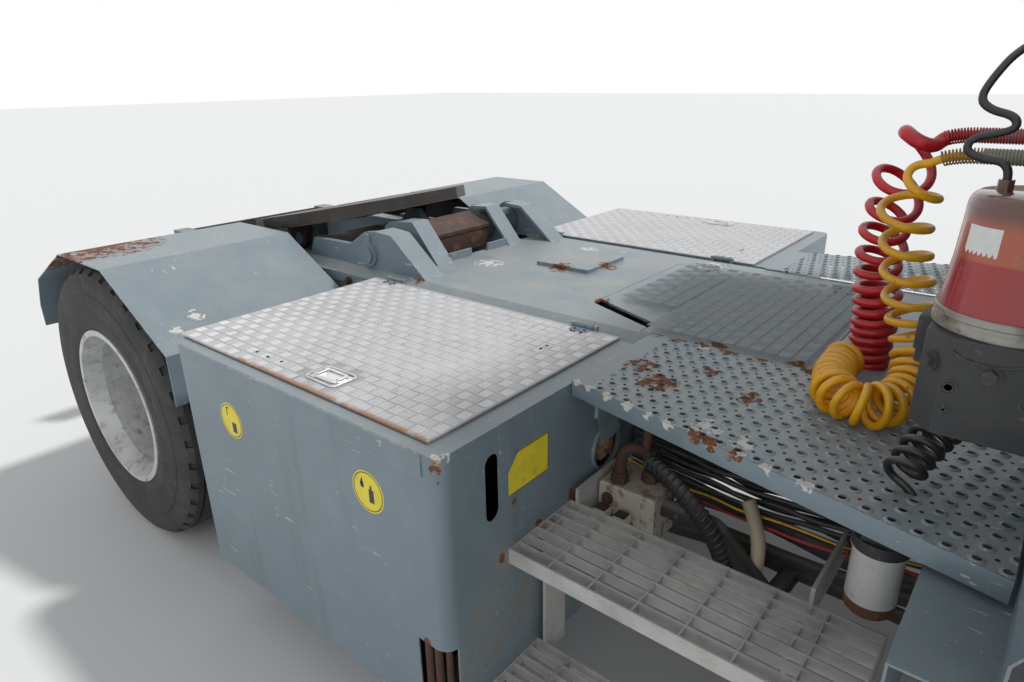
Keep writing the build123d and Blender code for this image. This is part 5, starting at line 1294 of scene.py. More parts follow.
for side, sign in SIDES:
    for end, x, face, hub in (("rear", REAR_X, 0.9185, 1.0005), ("front", FRONT_X, 1.1975, 1.2335)):
        bm = bmesh.new()
        round_axle(bm, x, sign, face, BOLT_CIRCLE, 10, 0.5, WHEEL_NUT)
        round_axle(bm, x, sign, hub, CAP_CIRCLE, 8, 0, CAP_SCREW)
        add_piece(f"nuts_{end}_{side}", bm, rusty_iron, f"wheel_{end}_{side}")
        bm = bmesh.new()
        reach = RIM_R - 0.050
        tip = min(face + 0.105, 1.232)
        foot = (x + reach, sign * (face - 0.006), AXLE_Z)
        neck = (x + reach - 0.006, sign * tip, AXLE_Z)
        rod(bm, foot, neck, 0.0042, 10)
        rod(bm, neck, (x + reach - 0.007, sign * (tip + 0.012), AXLE_Z), 0.0060, 10)
        add_piece(f"valve_{end}_{side}", bm, brass, f"wheel_{end}_{side}")
print("wheels are dressed")

# %% [markdown]
# ## On the side box
# Two round yellow stickers mark the fillers, one a can and one a drop, and a yellow label with
# a torn corner sits beside the slot. All are blank but for generic signs, scuffed and faded.

# %% Stickers
def sticker_finish(name, colour, amount=0.8):
    """Printed film that is scuffed, faded and torn in places."""
    made = Finish(name, colour, 0.38)
    made.layer(made.noise(26, 0.35, 0.7, detail=6), shade(colour, 0.88))
    torn = made.noise(95, 0.62, 0.66, detail=8, rough=0.7)
    made.layer(made.times(torn, made.noise(18, 0.42, 0.56)), (0.60, 0.58, 0.52), 0.7, amount=amount)
    made.layer(made.noise(40, 0.60, 0.75, detail=8), (0.22, 0.19, 0.13), 0.8, amount=0.35)
    made.raise_by(made.noise(180, 0.3, 0.7), 0.00004)
    return made.done()


yellow_film = sticker_finish("yellow_film", (0.86, 0.70, 0.035))
black_ink = sticker_finish("black_ink", (0.02, 0.02, 0.022), 0.5)
SIDE_Y = -1.2470
STICKER_R = 0.052


STICKER_SIDES = 56
# Signs in black: (x, z, width, height) of each block from the sticker's middle
CAN = ((0.012, -0.018, 0.020, 0.030), (-0.016, 0.024, 0.004, 0.022), (-0.011, 0.036, 0.014, 0.004))
NOZZLE = ((0.011, -0.008, 0.016, 0.034), (0.011, 0.014, 0.006, 0.010))

bm = bmesh.new()
for x, z, shapes in ((-0.821, 0.807, CAN), (-0.258, 0.815, NOZZLE)):
    rod(bm, (x, SIDE_Y + 0.0005, z), (x, SIDE_Y - 0.0005, z), STICKER_R, STICKER_SIDES)
    flat = Matrix.Translation((x, SIDE_Y - 0.0007, z)) @ Matrix.Rotation(pi / 2, 4, "X")
    border = [ring(bm, STICKER_R - inset, STICKER_SIDES, flat) for inset in (0.0035, 0.0060)]
    for face in bridge(bm, border):
        face.material_index = 1
    for sx, sz, wide, high in shapes:
        x0, x1 = x + sx - wide / 2, x + sx + wide / 2
        z0, z1 = z + sz - high / 2, z + sz + high / 2
        block(bm, x0, x1, SIDE_Y - 0.0008, SIDE_Y, z0, z1, material=1)
# The drop: a round foot and a cone
rod(bm, (-0.276, SIDE_Y, 0.826), (-0.276, SIDE_Y - 0.0008, 0.826), 0.0062, 16, material=1)
rod(bm, (-0.276, SIDE_Y - 0.0004, 0.831), (-0.276, SIDE_Y - 0.0004, 0.846), 0.0050, 8, 0.0006, 1)
add_piece("round_stickers", bm, [yellow_film, black_ink], "chassis", smooth=0)

FRONT_WALL = -0.0360
bm = bmesh.new()
block(bm, FRONT_WALL - 0.0002, FRONT_WALL + 0.0004, -1.036, -0.889, 0.782, 0.884)
# The torn corner, and a black line along three of the edges
cut_off(bm, bm.verts[:] + bm.edges[:] + bm.faces[:], (0, -1.018, 0.862), (0, -0.62, 0.55))
for y, z, wide, high in (
    (-0.9625, 0.7835, 0.145, 0.0022),
    (-0.950, 0.8825, 0.120, 0.0022),
    (-0.8905, 0.833, 0.0022, 0.100),
):
    y0, y1 = y - wide / 2, y + wide / 2
    block(bm, FRONT_WALL, FRONT_WALL + 0.0006, y0, y1, z - high / 2, z + high / 2, material=1)
add_piece("yellow_label", bm, [yellow_film, black_ink], "chassis", smooth=0)

# %% [markdown]
# The ringed port in the box's front wall is stuffed with old foam gone brown, and a bent flap
# hangs from two bolts above it. Brown pipes show behind the cut-out at the lower corner. The
# lids' hinges are held by screws.

# %% Port, flap, pipes and screws
PORT = Vector((-0.036, -0.634, 0.731))
foam_finish = Finish("old_foam", (0.33, 0.19, 0.11), 0.95)
foam_finish.layer(foam_finish.noise(40, 0.4, 0.7, detail=8), (0.16, 0.085, 0.05))
foam_finish.layer(foam_finish.noise(15, 0.5, 0.7, detail=6), (0.50, 0.36, 0.25), amount=0.7)
foam_finish.raise_by(foam_finish.noise(150, 0.2, 0.8, detail=8), 0.004)
foam = foam_finish.done()
bm = bmesh.new()
for dy, dz, size in (
    (0.010, 0.012, 0.034),
    (-0.016, -0.014, 0.028),
    (0.020, -0.020, 0.024),
    (-0.006, 0.030, 0.020),
):
    lump = bmesh.ops.create_icosphere(bm, subdivisions=3, radius=size)["verts"]
    for v in lump:
        v.co *= 1 + 0.35 * noise.noise(v.co * 60 + Vector((dy, dz, 0)) * 90)
        v.co = v.co * 0.8 + PORT + Vector((-0.010, dy, dz))
add_piece("port_foam", bm, foam, "chassis", smooth=60)
bm = bmesh.new()
flap = bmesh.ops.create_grid(bm, x_segments=10, y_segments=8, size=0.5)["verts"]
for v in flap:
    u, w = v.co.x + 0.5, v.co.y + 0.5
    hang = 0.118 - 0.075 * u + 0.012 * w * u
    v.co = (PORT.x + 0.011 + 0.020 * u * u, PORT.y - 0.060 + 0.085 * w, PORT.z + hang)
bmesh.ops.solidify(bm, geom=bm.faces[:], thickness=0.003)
for dy in (-0.045, 0.005):
    bolt(bm, (PORT.x, PORT.y + dy, PORT.z + 0.108), (1, 0, 0), 0.014)
add_piece("port_flap", bm, plain_coat, "chassis", smooth=40)
bm = bmesh.new()
for x, y, radius in ((-0.112, -1.232, 0.010), (-0.088, -1.226, 0.010), (-0.062, -1.219, 0.008)):
    rod(bm, (x, y, 0.292), (x, y, 0.50), radius, 20)
add_piece("corner_pipes", bm, rusty_iron, "chassis")
for side, sign in SIDES:
    bm = bmesh.new()
    for x in (right_lid.x0 + 0.070, right_lid.x1 - 0.150):
        for dx in (0.014, 0.046):
            for dy in (0.026, 0.044):
                screw = Vector((x + dx, sign * (0.477 + dy), LID_TOP))
                rod(bm, screw + Vector((0, 0, 0.0018)), screw + Vector((0, 0, 0.0046)), 0.0042, 12, 0.003)
    add_piece("hinge_screws_" + side, bm, rusty_iron, f"lid_{side}_body")
print("box is dressed")

# %% [markdown]
# ## Under the walkway
# Seen over the upper step: the hydraulic block with two rusty elbows, cream plugs on its
# valves, a thick hose wound in a plastic spiral, a beige pipe, a bundle of black wiring with a
# few coloured wires, and a white filter with a brown foot.

# %% Routes under the walkway, in metres
ELBOW = [
    (0.045, -0.690, 0.70),
    (0.045, -0.690, 0.765),
    (0.070, -0.675, 0.785),
    (0.105, -0.645, 0.765),
    (0.105, -0.640, 0.70),
]
RISER = [(0.092, -0.655, 0.765), (0.098, -0.650, 0.80), (0.090, -0.640, 0.86), (0.060, -0.560, 0.90)]
WRAPPED = [
    (0.110, -0.655, 0.740),
    (0.155, -0.675, 0.745),
    (0.230, -0.700, 0.715),
    (0.300, -0.690, 0.640),
    (0.330, -0.660, 0.540),
    (0.325, -0.620, 0.460),
    (0.300, -0.560, 0.430),
]
BEIGE_ROUTE = [
    (0.345, -0.600, 0.700),
    (0.385, -0.620, 0.640),
    (0.395, -0.630, 0.560),
    (0.380, -0.610, 0.480),
    (0.340, -0.560, 0.440),
]
# Painted shade: three thick black rubber hoses that fill the dark gap below the frame rail, where the space
# is in shade
SHADE_FILL_HOSES = ((-0.500, 0.585, 0.046), (-0.515, 0.525, 0.040), (-0.495, 0.470, 0.040))
print("routes of", [len(r) for r in (ELBOW, RISER, WRAPPED, BEIGE_ROUTE)], "points")

# %% Elbows, hose, pipe and wiring
def pipe(name, points, thickness, finish, sides=4):
    """A tube on a line of few points, so drawn in finer steps."""
    tube(name, points, thickness, finish, sides, 10)


beige = plastic("beige_pipe", (0.46, 0.38, 0.27), 0.6, dust=0.2)
bm = bmesh.new()
for x, y in ((0.045, -0.690), (0.105, -0.640)):
    rod(bm, (x, y, 0.680), (x, y, 0.700), 0.023, 6)
    rod(bm, (x, y, 0.699), (x, y, 0.712), 0.019, 20)
bolt(bm, (0.030, -0.720, 0.640), (0, -1, 0), 0.020)
bolt(bm, (0.130, -0.720, 0.560), (0, -1, 0), 0.020)
add_piece("elbow_nuts", bm, rusty_iron, "chassis")
pipe("elbow_front", ELBOW, 0.030, rusty_iron)
pipe("elbow_riser", RISER, 0.026, rusty_iron)
pipe("wrapped_hose", WRAPPED, 0.040, rubber)
wrap = coil(
    WRAPPED,
    pitch=[(0, 0.017), (1, 0.017)],
    radius=[(0, 0.0215), (1, 0.0215)],
    lean=[(0, 0), (1, 0)],
    per_turn=12,
    run_out=False,
)
tube("hose_spiral", wrap, 0.0068, black_sheath, 1, 2)
pipe("beige_pipe", BEIGE_ROUTE, 0.034, beige)
bm = bmesh.new()
for x in (0.036, 0.092):
    block(bm, x - 0.017, x + 0.017, -0.775, -0.735, 0.600, 0.634, 0.004)
    block(bm, x - 0.008, x + 0.008, -0.797, -0.774, 0.607, 0.625, 0.002)
add_piece("valve_plugs", bm, cream_plastic, "chassis")
red_wire = plastic("red_wire", (0.42, 0.012, 0.012), 0.45, dust=0.1)
wire_kinds = ((black_sheath, 13, 0.013), (red_wire, 2, 0.007), (yellow_plastic, 1, 0.006))
count = 0
for finish, number, thickness in wire_kinds:
    for n in range(number):
        z = 0.665 + 0.022 * (count % 7)
        y = -0.530 - 0.030 * (count // 7)
        run = []
        for k in range(10):
            sway = noise.noise((k * 0.8, count, 5))
            lift = noise.noise((k * 0.9, 9, count))
            run.append((0.01 + 0.078 * k, y + 0.020 * sway, z + 0.022 * lift - 0.030 * sin(k * pi / 9)))
        pipe(f"wire_{count}", run, thickness, finish, 2)
        count += 1
# The three black hoses below the rail, placed as painted shade
for n, (y, z, thickness) in enumerate(SHADE_FILL_HOSES):
    run = []
    for k in range(8):
        run.append((0.105 * k, y - 0.012 * sin(k * 1.3 + n), z + 0.014 * sin(k * 0.9 + n * 2)))
    pipe(f"shade_fill_hose_{n}", run, thickness, rubber, 3)
print("wires:", count)

# %% Hydraulic block and filter
# One node holds both: the filter's brown foot, white can and black head, and the cream block
FOOT_TOP = 0.690
CAN_TOP = 0.8075
BLOCK_X1 = 0.40
BLOCK_FACE_Y = -0.7225

made = Finish("filter_can", (0.72, 0.71, 0.68), 0.4)
made.layer(made.math("LESS_THAN", made.axis("Z"), FOOT_TOP), (0.16, 0.07, 0.03), 0.5)
made.layer(made.math("GREATER_THAN", made.axis("Z"), CAN_TOP), (0.05, 0.05, 0.052), 0.6)
made.layer(made.noise(30, 0.55, 0.75, detail=8), (0.35, 0.30, 0.24), 0.8, amount=0.5)
on_block = made.math("LESS_THAN", made.axis("X"), BLOCK_X1)
made.layer(on_block, (0.47, 0.43, 0.36), 0.6)
stained = made.times(on_block, made.noise(35, 0.5, 0.64, detail=8))
made.layer(stained, (0.20, 0.13, 0.08), 0.85, amount=0.8)
valves = made.times(on_block, made.math("LESS_THAN", made.axis("Y"), BLOCK_FACE_Y))
made.layer(valves, (0.035, 0.033, 0.03), 0.6)
made.raise_by(made.noise(120, 0.2, 0.8), 0.0002)
dress(made.done(), "hydraulic_parts")
print("block and filter have their finish")

# %% [markdown]
# ## Lubricator pump
# The pump stands close to the camera: a grey moulded base with a raised ring, a plus sign and a
# hexagon plug, a metal band, and a bowl with red grease in its lower half and an amber film
# above it. A blank white label is on the bowl. The pieces replace the pump's solid.

# %% Finishes of the pump
PUMP = Vector((0.762, -0.850, 0))
GREASE_Z = 1.405

made = Finish("pump_plastic", (0.032, 0.034, 0.036), 0.6)
made.layer(made.noise(9, 0.35, 0.8, detail=7), (0.062, 0.062, 0.060), amount=0.8)
made.layer(made.noise(40, 0.62, 0.72, detail=8), (0.16, 0.145, 0.125), 0.8, amount=0.5)
made.layer(made.edges(0.003), (0.095, 0.098, 0.10), 0.45, amount=0.45)
made.raise_by(made.noise(420, 0.2, 0.8, detail=2), 0.00012)
pump_plastic = made.done()

made = Finish("pump_band", (0.36, 0.345, 0.31), 0.5, 0.3)
made.layer(made.noise(20, 0.4, 0.7, detail=8), (0.22, 0.19, 0.15), 0.65)
made.layer(made.noise(60, 0.6, 0.7, detail=8), (0.10, 0.075, 0.05), 0.8, amount=0.6)
made.raise_by(made.noise(200, 0.2, 0.8), 0.0001)
pump_band = made.done()

made = Finish("pump_bowl", (0.46, 0.105, 0.035), 0.16)
surface = made.math("ADD", made.axis("Z"), made.times(made.noise(9, 0.0, 1.0, detail=3), 0.012))
grease = made.spread(surface, GREASE_Z + 0.010, GREASE_Z + 0.004)
made.layer(grease, (0.36, 0.010, 0.010), 0.2)
streak = made.noise(16, 0.42, 0.72, detail=6, stretch=(1, 1, 0.30))
above = made.times(made.rest(grease), streak)
made.layer(above, (0.46, 0.060, 0.030), 0.2, amount=0.75)
top = made.spread(made.axis("Z"), 1.448, 1.476)
made.layer(top, (0.085, 0.032, 0.026), 0.25, amount=0.9)
made.layer(made.noise(30, 0.58, 0.76, detail=8, rough=0.7), (0.33, 0.24, 0.19), 0.5, amount=0.35)
made.shader.inputs["Coat Weight"].default_value = 0.7
made.shader.inputs["Coat Roughness"].default_value = 0.08
made.shader.inputs["Subsurface Weight"].default_value = 0.10
made.shader.inputs["Subsurface Radius"].default_value = (0.02, 0.006, 0.003)
made.raise_by(made.noise(24, 0.2, 0.8, detail=3), 0.0004)
pump_bowl = made.done()
white_film = sticker_finish("white_film", (0.82, 0.82, 0.80), 0.5)
print("pump finishes ready")

# %% Shape of the pump
BAND = [
    (0, 1.304),
    (0.097, 1.304),
    (0.101, 1.308),
    (0.101, 1.316),
    (0.0985, 1.319),
    (0.0985, 1.323),
    (0.101, 1.326),
    (0.101, 1.333),
    (0.099, 1.335),
    (0, 1.335),
]
BOWL = [
    (0, 1.334),
    (0.0965, 1.334),
    (0.0950, 1.350),
    (0.0895, 1.402),
    (0.0875, 1.440),
    (0.0860, 1.478),
    (0.0845, 1.4865),
    (0.0800, 1.4925),
    (0.0750, 1.4958),
    (0, 1.4958),
]


def turned_profile(bm, profile):
    """A closed solid of revolution round the pump's axis, from (radius, z) points."""
    verts = [bm.verts.new((PUMP.x + r, PUMP.y, z)) for r, z in profile]
    edges = [bm.edges.new(pair) for pair in zip(verts, verts[1:])]
    bmesh.ops.spin(
        bm,
        geom=verts + edges,
        cent=(PUMP.x, PUMP.y, 0),
        axis=(0, 0, 1),
        angle=tau,
        steps=72,
        use_merge=True,
    )
    bmesh.ops.remove_doubles(bm, verts=bm.verts, dist=1e-6)
    bmesh.ops.recalc_face_normals(bm, faces=bm.faces)


bm = bmesh.new()
block(bm, PUMP.x - 0.095, PUMP.x + 0.095, PUMP.y - 0.100, PUMP.y + 0.100, 1.155, 1.305)
corners = [e for e in bm.edges if abs((e.verts[0].co - e.verts[1].co).normalized().z) > 0.9]
bmesh.ops.bevel(bm, geom=corners, offset=0.034, segments=1, profile=0.5, affect="EDGES", material=-1)
bmesh.ops.bevel(bm, geom=bm.edges[:], offset=0.0035, segments=2, profile=0.5, affect="EDGES", material=-1)
block(bm, PUMP.x + 0.060, 0.880, PUMP.y - 0.045, PUMP.y + 0.045, 1.180, 1.285, 0.003)
# Towards the camera: two plugs, raised rings, a plus sign and the crescent above them
face = PUMP.y - 0.100
to_camera = Vector((0, -1, 0))
facet = Vector((-0.707, -0.707, 0))
for place, out in (
    (Vector((PUMP.x - 0.006, face, 1.262)), to_camera),
    (Vector((PUMP.x - 0.078, PUMP.y - 0.083, 1.262)), facet),
):
    rod(bm, place - out * 0.002, place + out * 0.004, 0.015, 24)
    rod(bm, place + out * 0.003, place + out * 0.013, 0.0105, 6)
RING_SECTION = ((0.0014, -0.001), (0.0010, 0.0016), (-0.0010, 0.0016), (-0.0014, -0.001))
for x in (PUMP.x - 0.050, PUMP.x + 0.045):
    place = Vector((x, face, 1.232))
    turn = along(place, place + to_camera)
    for radius in (0.0105, 0.0060):
        loops = []
        for step, height in RING_SECTION:
            loops.append(ring(bm, radius + step, 28, turn @ Matrix.Translation((0, 0, height))))
        bridge(bm, loops)
x = PUMP.x - 0.050
for half_wide, low, high in ((0.010, 1.1945, 1.1995), (0.0025, 1.187, 1.207)):
    block(bm, x - half_wide, x + half_wide, face - 0.0018, face + 0.001, low, high, 0.0008)


def on_crescent(angle):
    """A place on the raised line over the rings."""
    return PUMP.x - 0.01 + 0.05 * cos(angle), face - 0.0015, 1.296 + 0.022 * sin(angle)


for k in range(9):
    angle = radians(205 + 130 * k / 8)
    rod(bm, on_crescent(angle), on_crescent(angle + 0.29), 0.0022, 8)
# Connector box and its plug on the far side
block(bm, PUMP.x - 0.118, PUMP.x - 0.094, PUMP.y + 0.010, PUMP.y + 0.062, 1.240, 1.296, 0.003)
rod(bm, (PUMP.x - 0.106, PUMP.y + 0.036, 1.240), (PUMP.x - 0.106, PUMP.y + 0.036, 1.214), 0.011, 16)
rod(bm, (PUMP.x, PUMP.y, 1.300), (PUMP.x, PUMP.y, 1.310), 0.094, 64)
add_piece("pump_base", bm, pump_plastic, "chassis", node="lube_pump")

bm = bmesh.new()
turned_profile(bm, BAND)
rod(bm, PUMP + Vector((-0.080, -0.066, 1.322)), PUMP + Vector((-0.088, -0.052, 1.322)), 0.008, 14)
add_piece("pump_clamp", bm, pump_band, "chassis")

bm = bmesh.new()
turned_profile(bm, BOWL)
knob = Vector((0.715, -0.850, 0))
rod(bm, knob + Vector((0, 0, 1.4955)), knob + Vector((0, 0, 1.511)), 0.010, 20)
add_piece("pump_bowl", bm, pump_bowl, "chassis", smooth=40)

bm = bmesh.new()
label_turn, label_half = radians(232), radians(17)
grid = bmesh.ops.create_grid(bm, x_segments=14, y_segments=6, size=0.5)["verts"]
for v in grid:
    angle = label_turn + v.co.x * 2 * label_half
    z = 1.430 + v.co.y * 0.050
    radius = 0.0863 + (1.478 - z) * 0.038
    v.co = (PUMP.x + radius * cos(angle), PUMP.y + radius * sin(angle), z)
bmesh.ops.solidify(bm, geom=bm.faces[:], thickness=-0.0006)
add_piece("pump_label", bm, white_film, "chassis")
print("pump is dressed")

# %% [markdown]
# ## Deck, hatch and rear
# The hatch wears a tread pattern under its paint. Rows of bolts hold the cross-members to the
# frame rails, and three on each side hold the boom's brackets.

# %% Hatch pattern and bolts
hatch = Box("deck_hatch")
hatch_coat = coat("hatch_coat", dust=0.5, wear=0)
CUT_X = hatch.x0 + 0.250
for name, x0, x1, y0 in (
    ("hatch_bars", CUT_X, hatch.x1 - 0.012, hatch.y0 + 0.012),
    ("hatch_bars_rear", hatch.x0 + 0.055, CUT_X - 0.004, -0.210),
):
    place = (x0, x1, y0, hatch.y1 - 0.030, hatch.z1 - 0.0006)
    tread_bars(name, *place, hatch_coat, "hatch_body", "body_paint")
BRACKET_Y = 0.4755
RAIL_Y = 0.460
BOLT_SIZE = 0.019
bm = bmesh.new()
for side in (-1, 1):
    for x in (-1.290, -1.200, -1.110):
        bolt(bm, (x, side * BRACKET_Y, 1.024 - 0.090), (0, side, 0), BOLT_SIZE)
    for x in (-2.52, -2.30, -1.30, -1.08, -0.80, -0.40, 0.20, 0.60, 1.00, 1.80, 2.20):
        for z in (0.700, 0.905):
            bolt(bm, (x, side * RAIL_Y, z), (0, side, 0), BOLT_SIZE)
add_piece("rail_bolts", bm, rusty_iron, "chassis")
print("deck is dressed")

# %% [markdown]
# ## Cab
# The camera stands beside the cab, so the photograph shows nothing of it. Its details are
# plain ones that any yard tractor has: rubber gaskets round the windows, two wipers, mirror
# glass, lamp lenses, dials and switches, pedals and a floor mat.

# %% Gaskets round the windows
def gasket(bm, corners, out):
    """A flat rubber frame round an opening, standing 5 mm out of the wall."""
    width, radius = 0.026, 0.045
    out = Vector(out)
    middle = sum((Vector(c) for c in corners), Vector()) / len(corners)
    verts = []
    for corner in corners:
        away = Vector(corner) - middle
        step = Vector(0.5 * width * (1 if c > 0 else -1) if abs(c) > 0.01 else 0 for c in away)
        verts.append(bm.verts.new(Vector(corner) + step - out * 0.002))
    bm.faces.new(verts)
    rounded = bmesh.ops.bevel(bm, geom=verts, offset=radius, segments=6, profile=0.5, affect="VERTICES")
    face = max((f for v in rounded["verts"] for f in v.link_faces), key=lambda f: len(f.verts))
    inset = bmesh.ops.inset_region(
        bm, faces=[face], thickness=width, use_even_offset=True, use_boundary=True
    )
    bmesh.ops.delete(bm, geom=[face], context="FACES_ONLY")
    top = bmesh.ops.extrude_face_region(bm, geom=inset["faces"])["geom"]
    bmesh.ops.translate(bm, vec=out * 0.007, verts=[v for v in top if isinstance(v, bmesh.types.BMVert)])
    bmesh.ops.recalc_face_normals(bm, faces=bm.faces)


def upright(axis, place, a0, a1, z0, z1):
    """Corners of an upright rectangle on the plane x or y = place."""
    corners = [(a0, z0), (a1, z0), (a1, z1), (a0, z1)]
    return [(place, a, z) if axis == "x" else (a, place, z) for a, z in corners]


CAB_X0 = 0.880
CAB_Y0 = -0.300
CAB_Y1 = 1.130
SILL = 1.750
HEAD = 2.780
SCREEN = Vector((2.458, 0.415, 2.230))
SCREEN_UP = Vector((-0.1733, 0, 0.9849))
SCREEN_OUT = Vector((0.9849, 0, 0.1733))

bm = bmesh.new()
gasket(bm, upright("y", CAB_Y0, 1.130, 1.635, 1.840, HEAD), (0, -1, 0))
gasket(bm, upright("x", CAB_X0, -0.220, 0.400, 1.850, HEAD), (-1, 0, 0))
for y, out in ((CAB_Y0, -1), (CAB_Y1, 1)):
    gasket(bm, [(1.705, y, SILL), (2.450, y, SILL), (2.260, y, HEAD), (1.705, y, HEAD)], (0, out, 0))
across = Vector((0, 0.630, 0))
tall = SCREEN_UP * 0.535
screen = [SCREEN - across - tall, SCREEN + across - tall, SCREEN + across + tall, SCREEN - across + tall]
gasket(bm, screen, SCREEN_OUT)
add_piece("window_gaskets", bm, rubber, "chassis")
bm = bmesh.new()
gasket(bm, upright("y", CAB_Y1, 1.019, 1.571, SILL, 2.721), (0, 1, 0))
add_piece("gasket_door_left", bm, rubber, "side_door")
bm = bmesh.new()
gasket(bm, upright("x", 0.836, 0.530, 0.970, SILL, 2.725), (-1, 0, 0))
add_piece("gasket_door_rear", bm, rubber, "rear_door")
print("gaskets laid")

# %% Wipers, mirror glass and lenses
bm = bmesh.new()
lean = 0.26
for y in (0.130, 0.760):
    foot = SCREEN - tall + Vector((0, y - SCREEN.y, 0)) - SCREEN_UP * 0.020
    rod(bm, foot, foot + SCREEN_OUT * 0.030, 0.013, 16)
    tip = foot + SCREEN_OUT * 0.024 + (SCREEN_UP * cos(lean) + Vector((0, sin(lean), 0))) * 0.460
    rod(bm, foot + SCREEN_OUT * 0.026, tip, 0.0055, 10, 0.0035)
    blade = SCREEN_UP * cos(lean * 0.4) + Vector((0, sin(lean * 0.4), 0))
    middle = tip - SCREEN_OUT * 0.010
    rod(bm, middle - blade * 0.235, middle + blade * 0.235, 0.0065, 4, 0.0045)
    rod(bm, tip, middle, 0.006, 8)
add_piece("wipers", bm, black_plastic, "chassis")

made = Finish("mirror_glass", (0.78, 0.80, 0.81), 0.05, 1.0)
made.layer(made.noise(12, 0.5, 0.8, detail=8), (0.55, 0.54, 0.50), 0.35, amount=0.5)
mirror_face = made.done()
bm = bmesh.new()
for y, wide in ((1.200, 0.096), (-0.450, 0.160)):
    block(bm, 2.3488, 2.3510, y - wide / 2 + 0.012, y + wide / 2 - 0.012, 2.062, 2.418, 0.0008)
add_piece("mirror_glass", bm, mirror_face, "chassis")

plain, red, amber, silver = bmesh.new(), bmesh.new(), bmesh.new(), bmesh.new()
HEADLAMP_Z = 0.710
for side in (-1, 1):
    for y in (0.762, 0.878):
        rod(silver, (2.7488, side * y, HEADLAMP_Z), (2.7494, side * y, HEADLAMP_Z), 0.054, 40)
        rod(plain, (2.7492, side * y, HEADLAMP_Z), (2.7499, side * y, HEADLAMP_Z), 0.047, 40, 0.045)
    for y0, y1, lens in ((0.524, 0.594, red), (0.597, 0.664, amber), (0.667, 0.736, red)):
        low, high = sorted((side * y0, side * y1))
        block(lens, -2.7124, -2.7095, low, high, 0.724, 0.836, 0.0012)
for y in (-0.120, 0.950):
    block(plain, 0.8684, 0.8706, y - 0.064, y + 0.064, 3.031, 3.099, 0.001)
    for dy in (-0.032, 0.032):
        rod(silver, (0.8690, y + dy, 3.065), (0.8678, y + dy, 3.065), 0.022, 24)
add_piece("clear_lenses", plain, clear_lens, "chassis")
add_piece("red_lenses", red, red_lens, "chassis")
add_piece("amber_lenses", amber, amber_lens, "chassis")
add_piece("reflectors", silver, chrome, "chassis")
print("mirrors and lamps are dressed")

# %% Dials, switches, pedals and mat
FACE = Vector((2.210, 0.415, 1.660))
FACE_OUT = Vector((-0.7071, 0, 0.7071))
dials, needles = bmesh.new(), bmesh.new()
for y, radius in ((-0.130, 0.048), (0.0, 0.048), (0.110, 0.027), (0.180, 0.027), (-0.230, 0.027)):
    place = FACE + Vector((0, y, 0))
    rod(dials, place - FACE_OUT * 0.004, place + FACE_OUT * 0.006, radius, 36, radius - 0.002)
    rod(needles, place + FACE_OUT * 0.0055, place + FACE_OUT * 0.0066, radius - 0.006, 36)
    hand = Vector((0.5, 0.7, 0.5)).normalized() * radius * 0.6
    rod(dials, place + FACE_OUT * 0.0068, place + FACE_OUT * 0.0068 + hand, 0.0016, 6)
for k in range(8):
    y = 0.100 + 0.060 * k
    block(dials, 2.1550, 2.1620, y - 0.018, y + 0.018, 1.530, 1.580, 0.003)
    block(needles, 2.1540, 2.1552, y - 0.005, y + 0.005, 1.568, 1.573)
PEDAL_Y = (0.270, 0.350, 0.520)
for y in PEDAL_Y:
    rod(dials, (2.400, y, 1.250), (2.350, y, 1.200), 0.009, 12)
    block(dials, 2.300, 2.352, y - 0.030, y + 0.030, 1.185, 1.200, 0.004)
for k in range(7):
    x = 2.3045 + k * 0.007
    for y in PEDAL_Y:
        block(dials, x, x + 0.003, y - 0.027, y + 0.027, 1.1995, 1.2025)
add_piece("dials_and_pedals", dials, black_plastic, "chassis")
add_piece("dial_faces", needles, white_paint, "chassis")
bm = bmesh.new()
block(bm, 0.930, 2.480, CAB_Y0 + 0.045, CAB_Y1 - 0.045, 1.1452, 1.1500, 0.002)
for k in range(24):
    y = 0.150 + k * 0.022
    block(bm, 1.500, 2.080, y, y + 0.008, 1.1495, 1.1530)
add_piece("floor_mat", bm, rubber, "chassis")
print("cab is dressed")

# %% [markdown]
# ## Driver's seat
# The cushion and the backrest are soft goods: each starts a little smaller than its solid and
# is blown up as cloth, so that it swells evenly. No point moves further than 12 mm, and none
# leaves the solid's own box. Below them are two plates with the folds of a bellows between.

# %% Seat
SEAT = Vector((1.310, 0.415, 1.470))
made = Finish("seat_cloth", (0.030, 0.033, 0.038), 0.85)
made.layer(made.noise(7, 0.35, 0.75, detail=8), (0.055, 0.056, 0.058), amount=0.8)
made.layer(made.noise(300, 0.45, 0.6, detail=2), (0.095, 0.096, 0.10), amount=0.35)
made.layer(made.noise(3, 0.5, 0.75, detail=6), (0.11, 0.10, 0.085), amount=0.3)
made.raise_by(made.noise(420, 0.3, 0.7, detail=2), 0.0003)
seat_cloth = made.done()


CLOTH = {
    "quality": 5,
    "mass": 0.3,
    "tension_stiffness": 60,
    "compression_stiffness": 60,
    "bending_stiffness": 2,
    "use_pressure": True,
    "uniform_pressure_force": 4,
}
CLOTH_STEPS = 20
SWELL = 0.012
MARGIN = 0.009


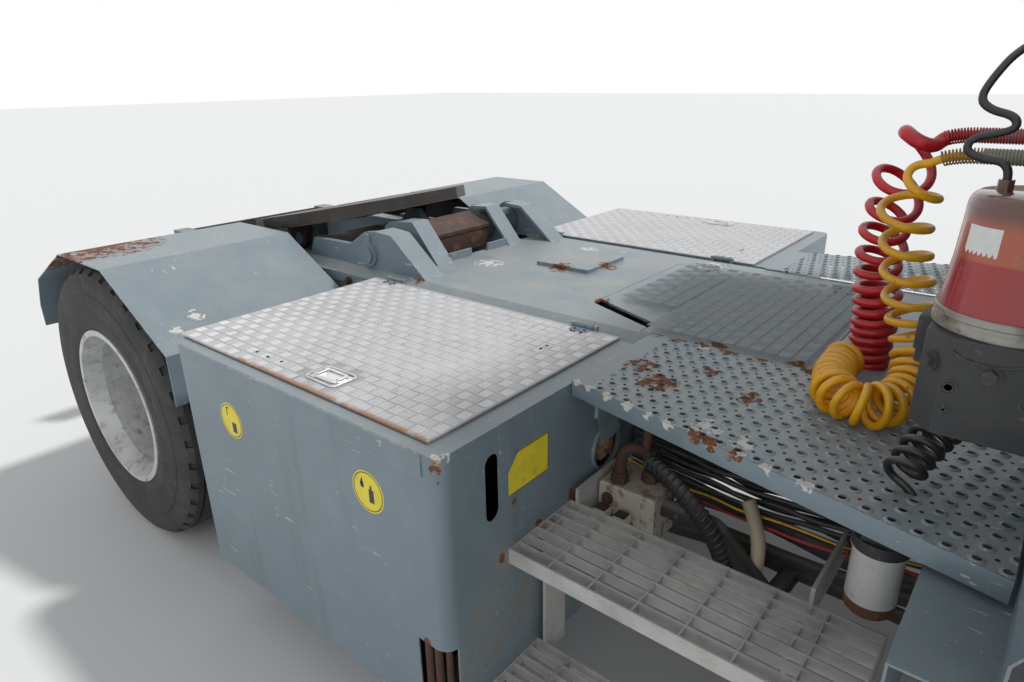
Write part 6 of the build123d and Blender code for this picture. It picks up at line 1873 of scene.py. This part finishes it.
def pad(name, size, centre, lean):
    """A padded cushion of this size, swollen by a cloth simulation in the full model."""
    bm = bmesh.new()
    block(bm, -size[0] / 2, size[0] / 2, -size[1] / 2, size[1] / 2, -size[2] / 2, size[2] / 2, 0.036, 5)
    place = Matrix.Translation(centre) @ Matrix.Rotation(lean, 4, "Y")
    bmesh.ops.transform(bm, matrix=place, verts=bm.verts)
    piece = add_piece(name, bm, seat_cloth, "chassis", smooth=60)
    soft = piece.copy()
    soft.data = piece.data.copy()
    scene.collection.objects.link(soft)
    remesh = soft.modifiers.new("even", "REMESH")
    remesh.mode = "VOXEL"
    remesh.voxel_size = 0.006
    cloth = soft.modifiers.new("swell", "CLOTH")
    for key, value in CLOTH.items():
        setattr(cloth.settings, key, value)
    cloth.settings.effector_weights.gravity = 0
    cloth.collision_settings.use_collision = False
    for step in range(1, CLOTH_STEPS + 1):
        scene.frame_set(step)
    swollen = bpy.data.meshes.new_from_object(soft.evaluated_get(bpy.context.evaluated_depsgraph_get()))
    soft.modifiers.remove(cloth)
    bpy.context.view_layer.update()
    start = bpy.data.meshes.new_from_object(soft.evaluated_get(bpy.context.evaluated_depsgraph_get()))
    inside = place.inverted()
    limit = [s / 2 + MARGIN for s in size]
    if len(start.vertices) == len(swollen.vertices):
        for before, after in zip(start.vertices, swollen.vertices):
            move = after.co - before.co
            if move.length > SWELL:
                move = move * (SWELL / move.length)
            local = inside @ (before.co + move)
            kept = Vector(max(-b, min(b, a)) for a, b in zip(local, limit))
            after.co = place @ kept
        swollen.materials.clear()
        swollen.materials.append(seat_cloth)
        swollen.polygons.foreach_set("use_smooth", [True] * len(swollen.polygons))
        piece.data = swollen
    bpy.data.objects.remove(soft)
    scene.frame_set(1)
    return piece


cushion = pad("seat_cushion", (0.482, 0.482, 0.104), SEAT, 0)
backrest = pad("seat_backrest", (0.104, 0.462, 0.702), Vector((1.065, 0.415, 1.870)), radians(-8))
bm = bmesh.new()
BASE = (1.160, 1.460, 0.275, 0.555)
FOLD = 0.040
block(bm, *BASE, 1.1452, 1.190, 0.006)
block(bm, *BASE, 1.385, 1.4245, 0.006)
x0, x1, y0, y1 = BASE
for k in range(5):
    inset = 0.030 if k % 2 else 0.014
    z = 1.188 + k * FOLD
    block(bm, x0 + inset, x1 - inset, y0 + inset, y1 - inset, z, z + FOLD + 0.0005, 0.012)
block(bm, 1.045, 1.130, 0.380, 0.450, 1.400, 1.560, 0.008)
base = add_piece("seat_base", bm, black_plastic, "chassis")
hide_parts("seat")
print("seat cushion has", len(cushion.data.polygons), "faces")
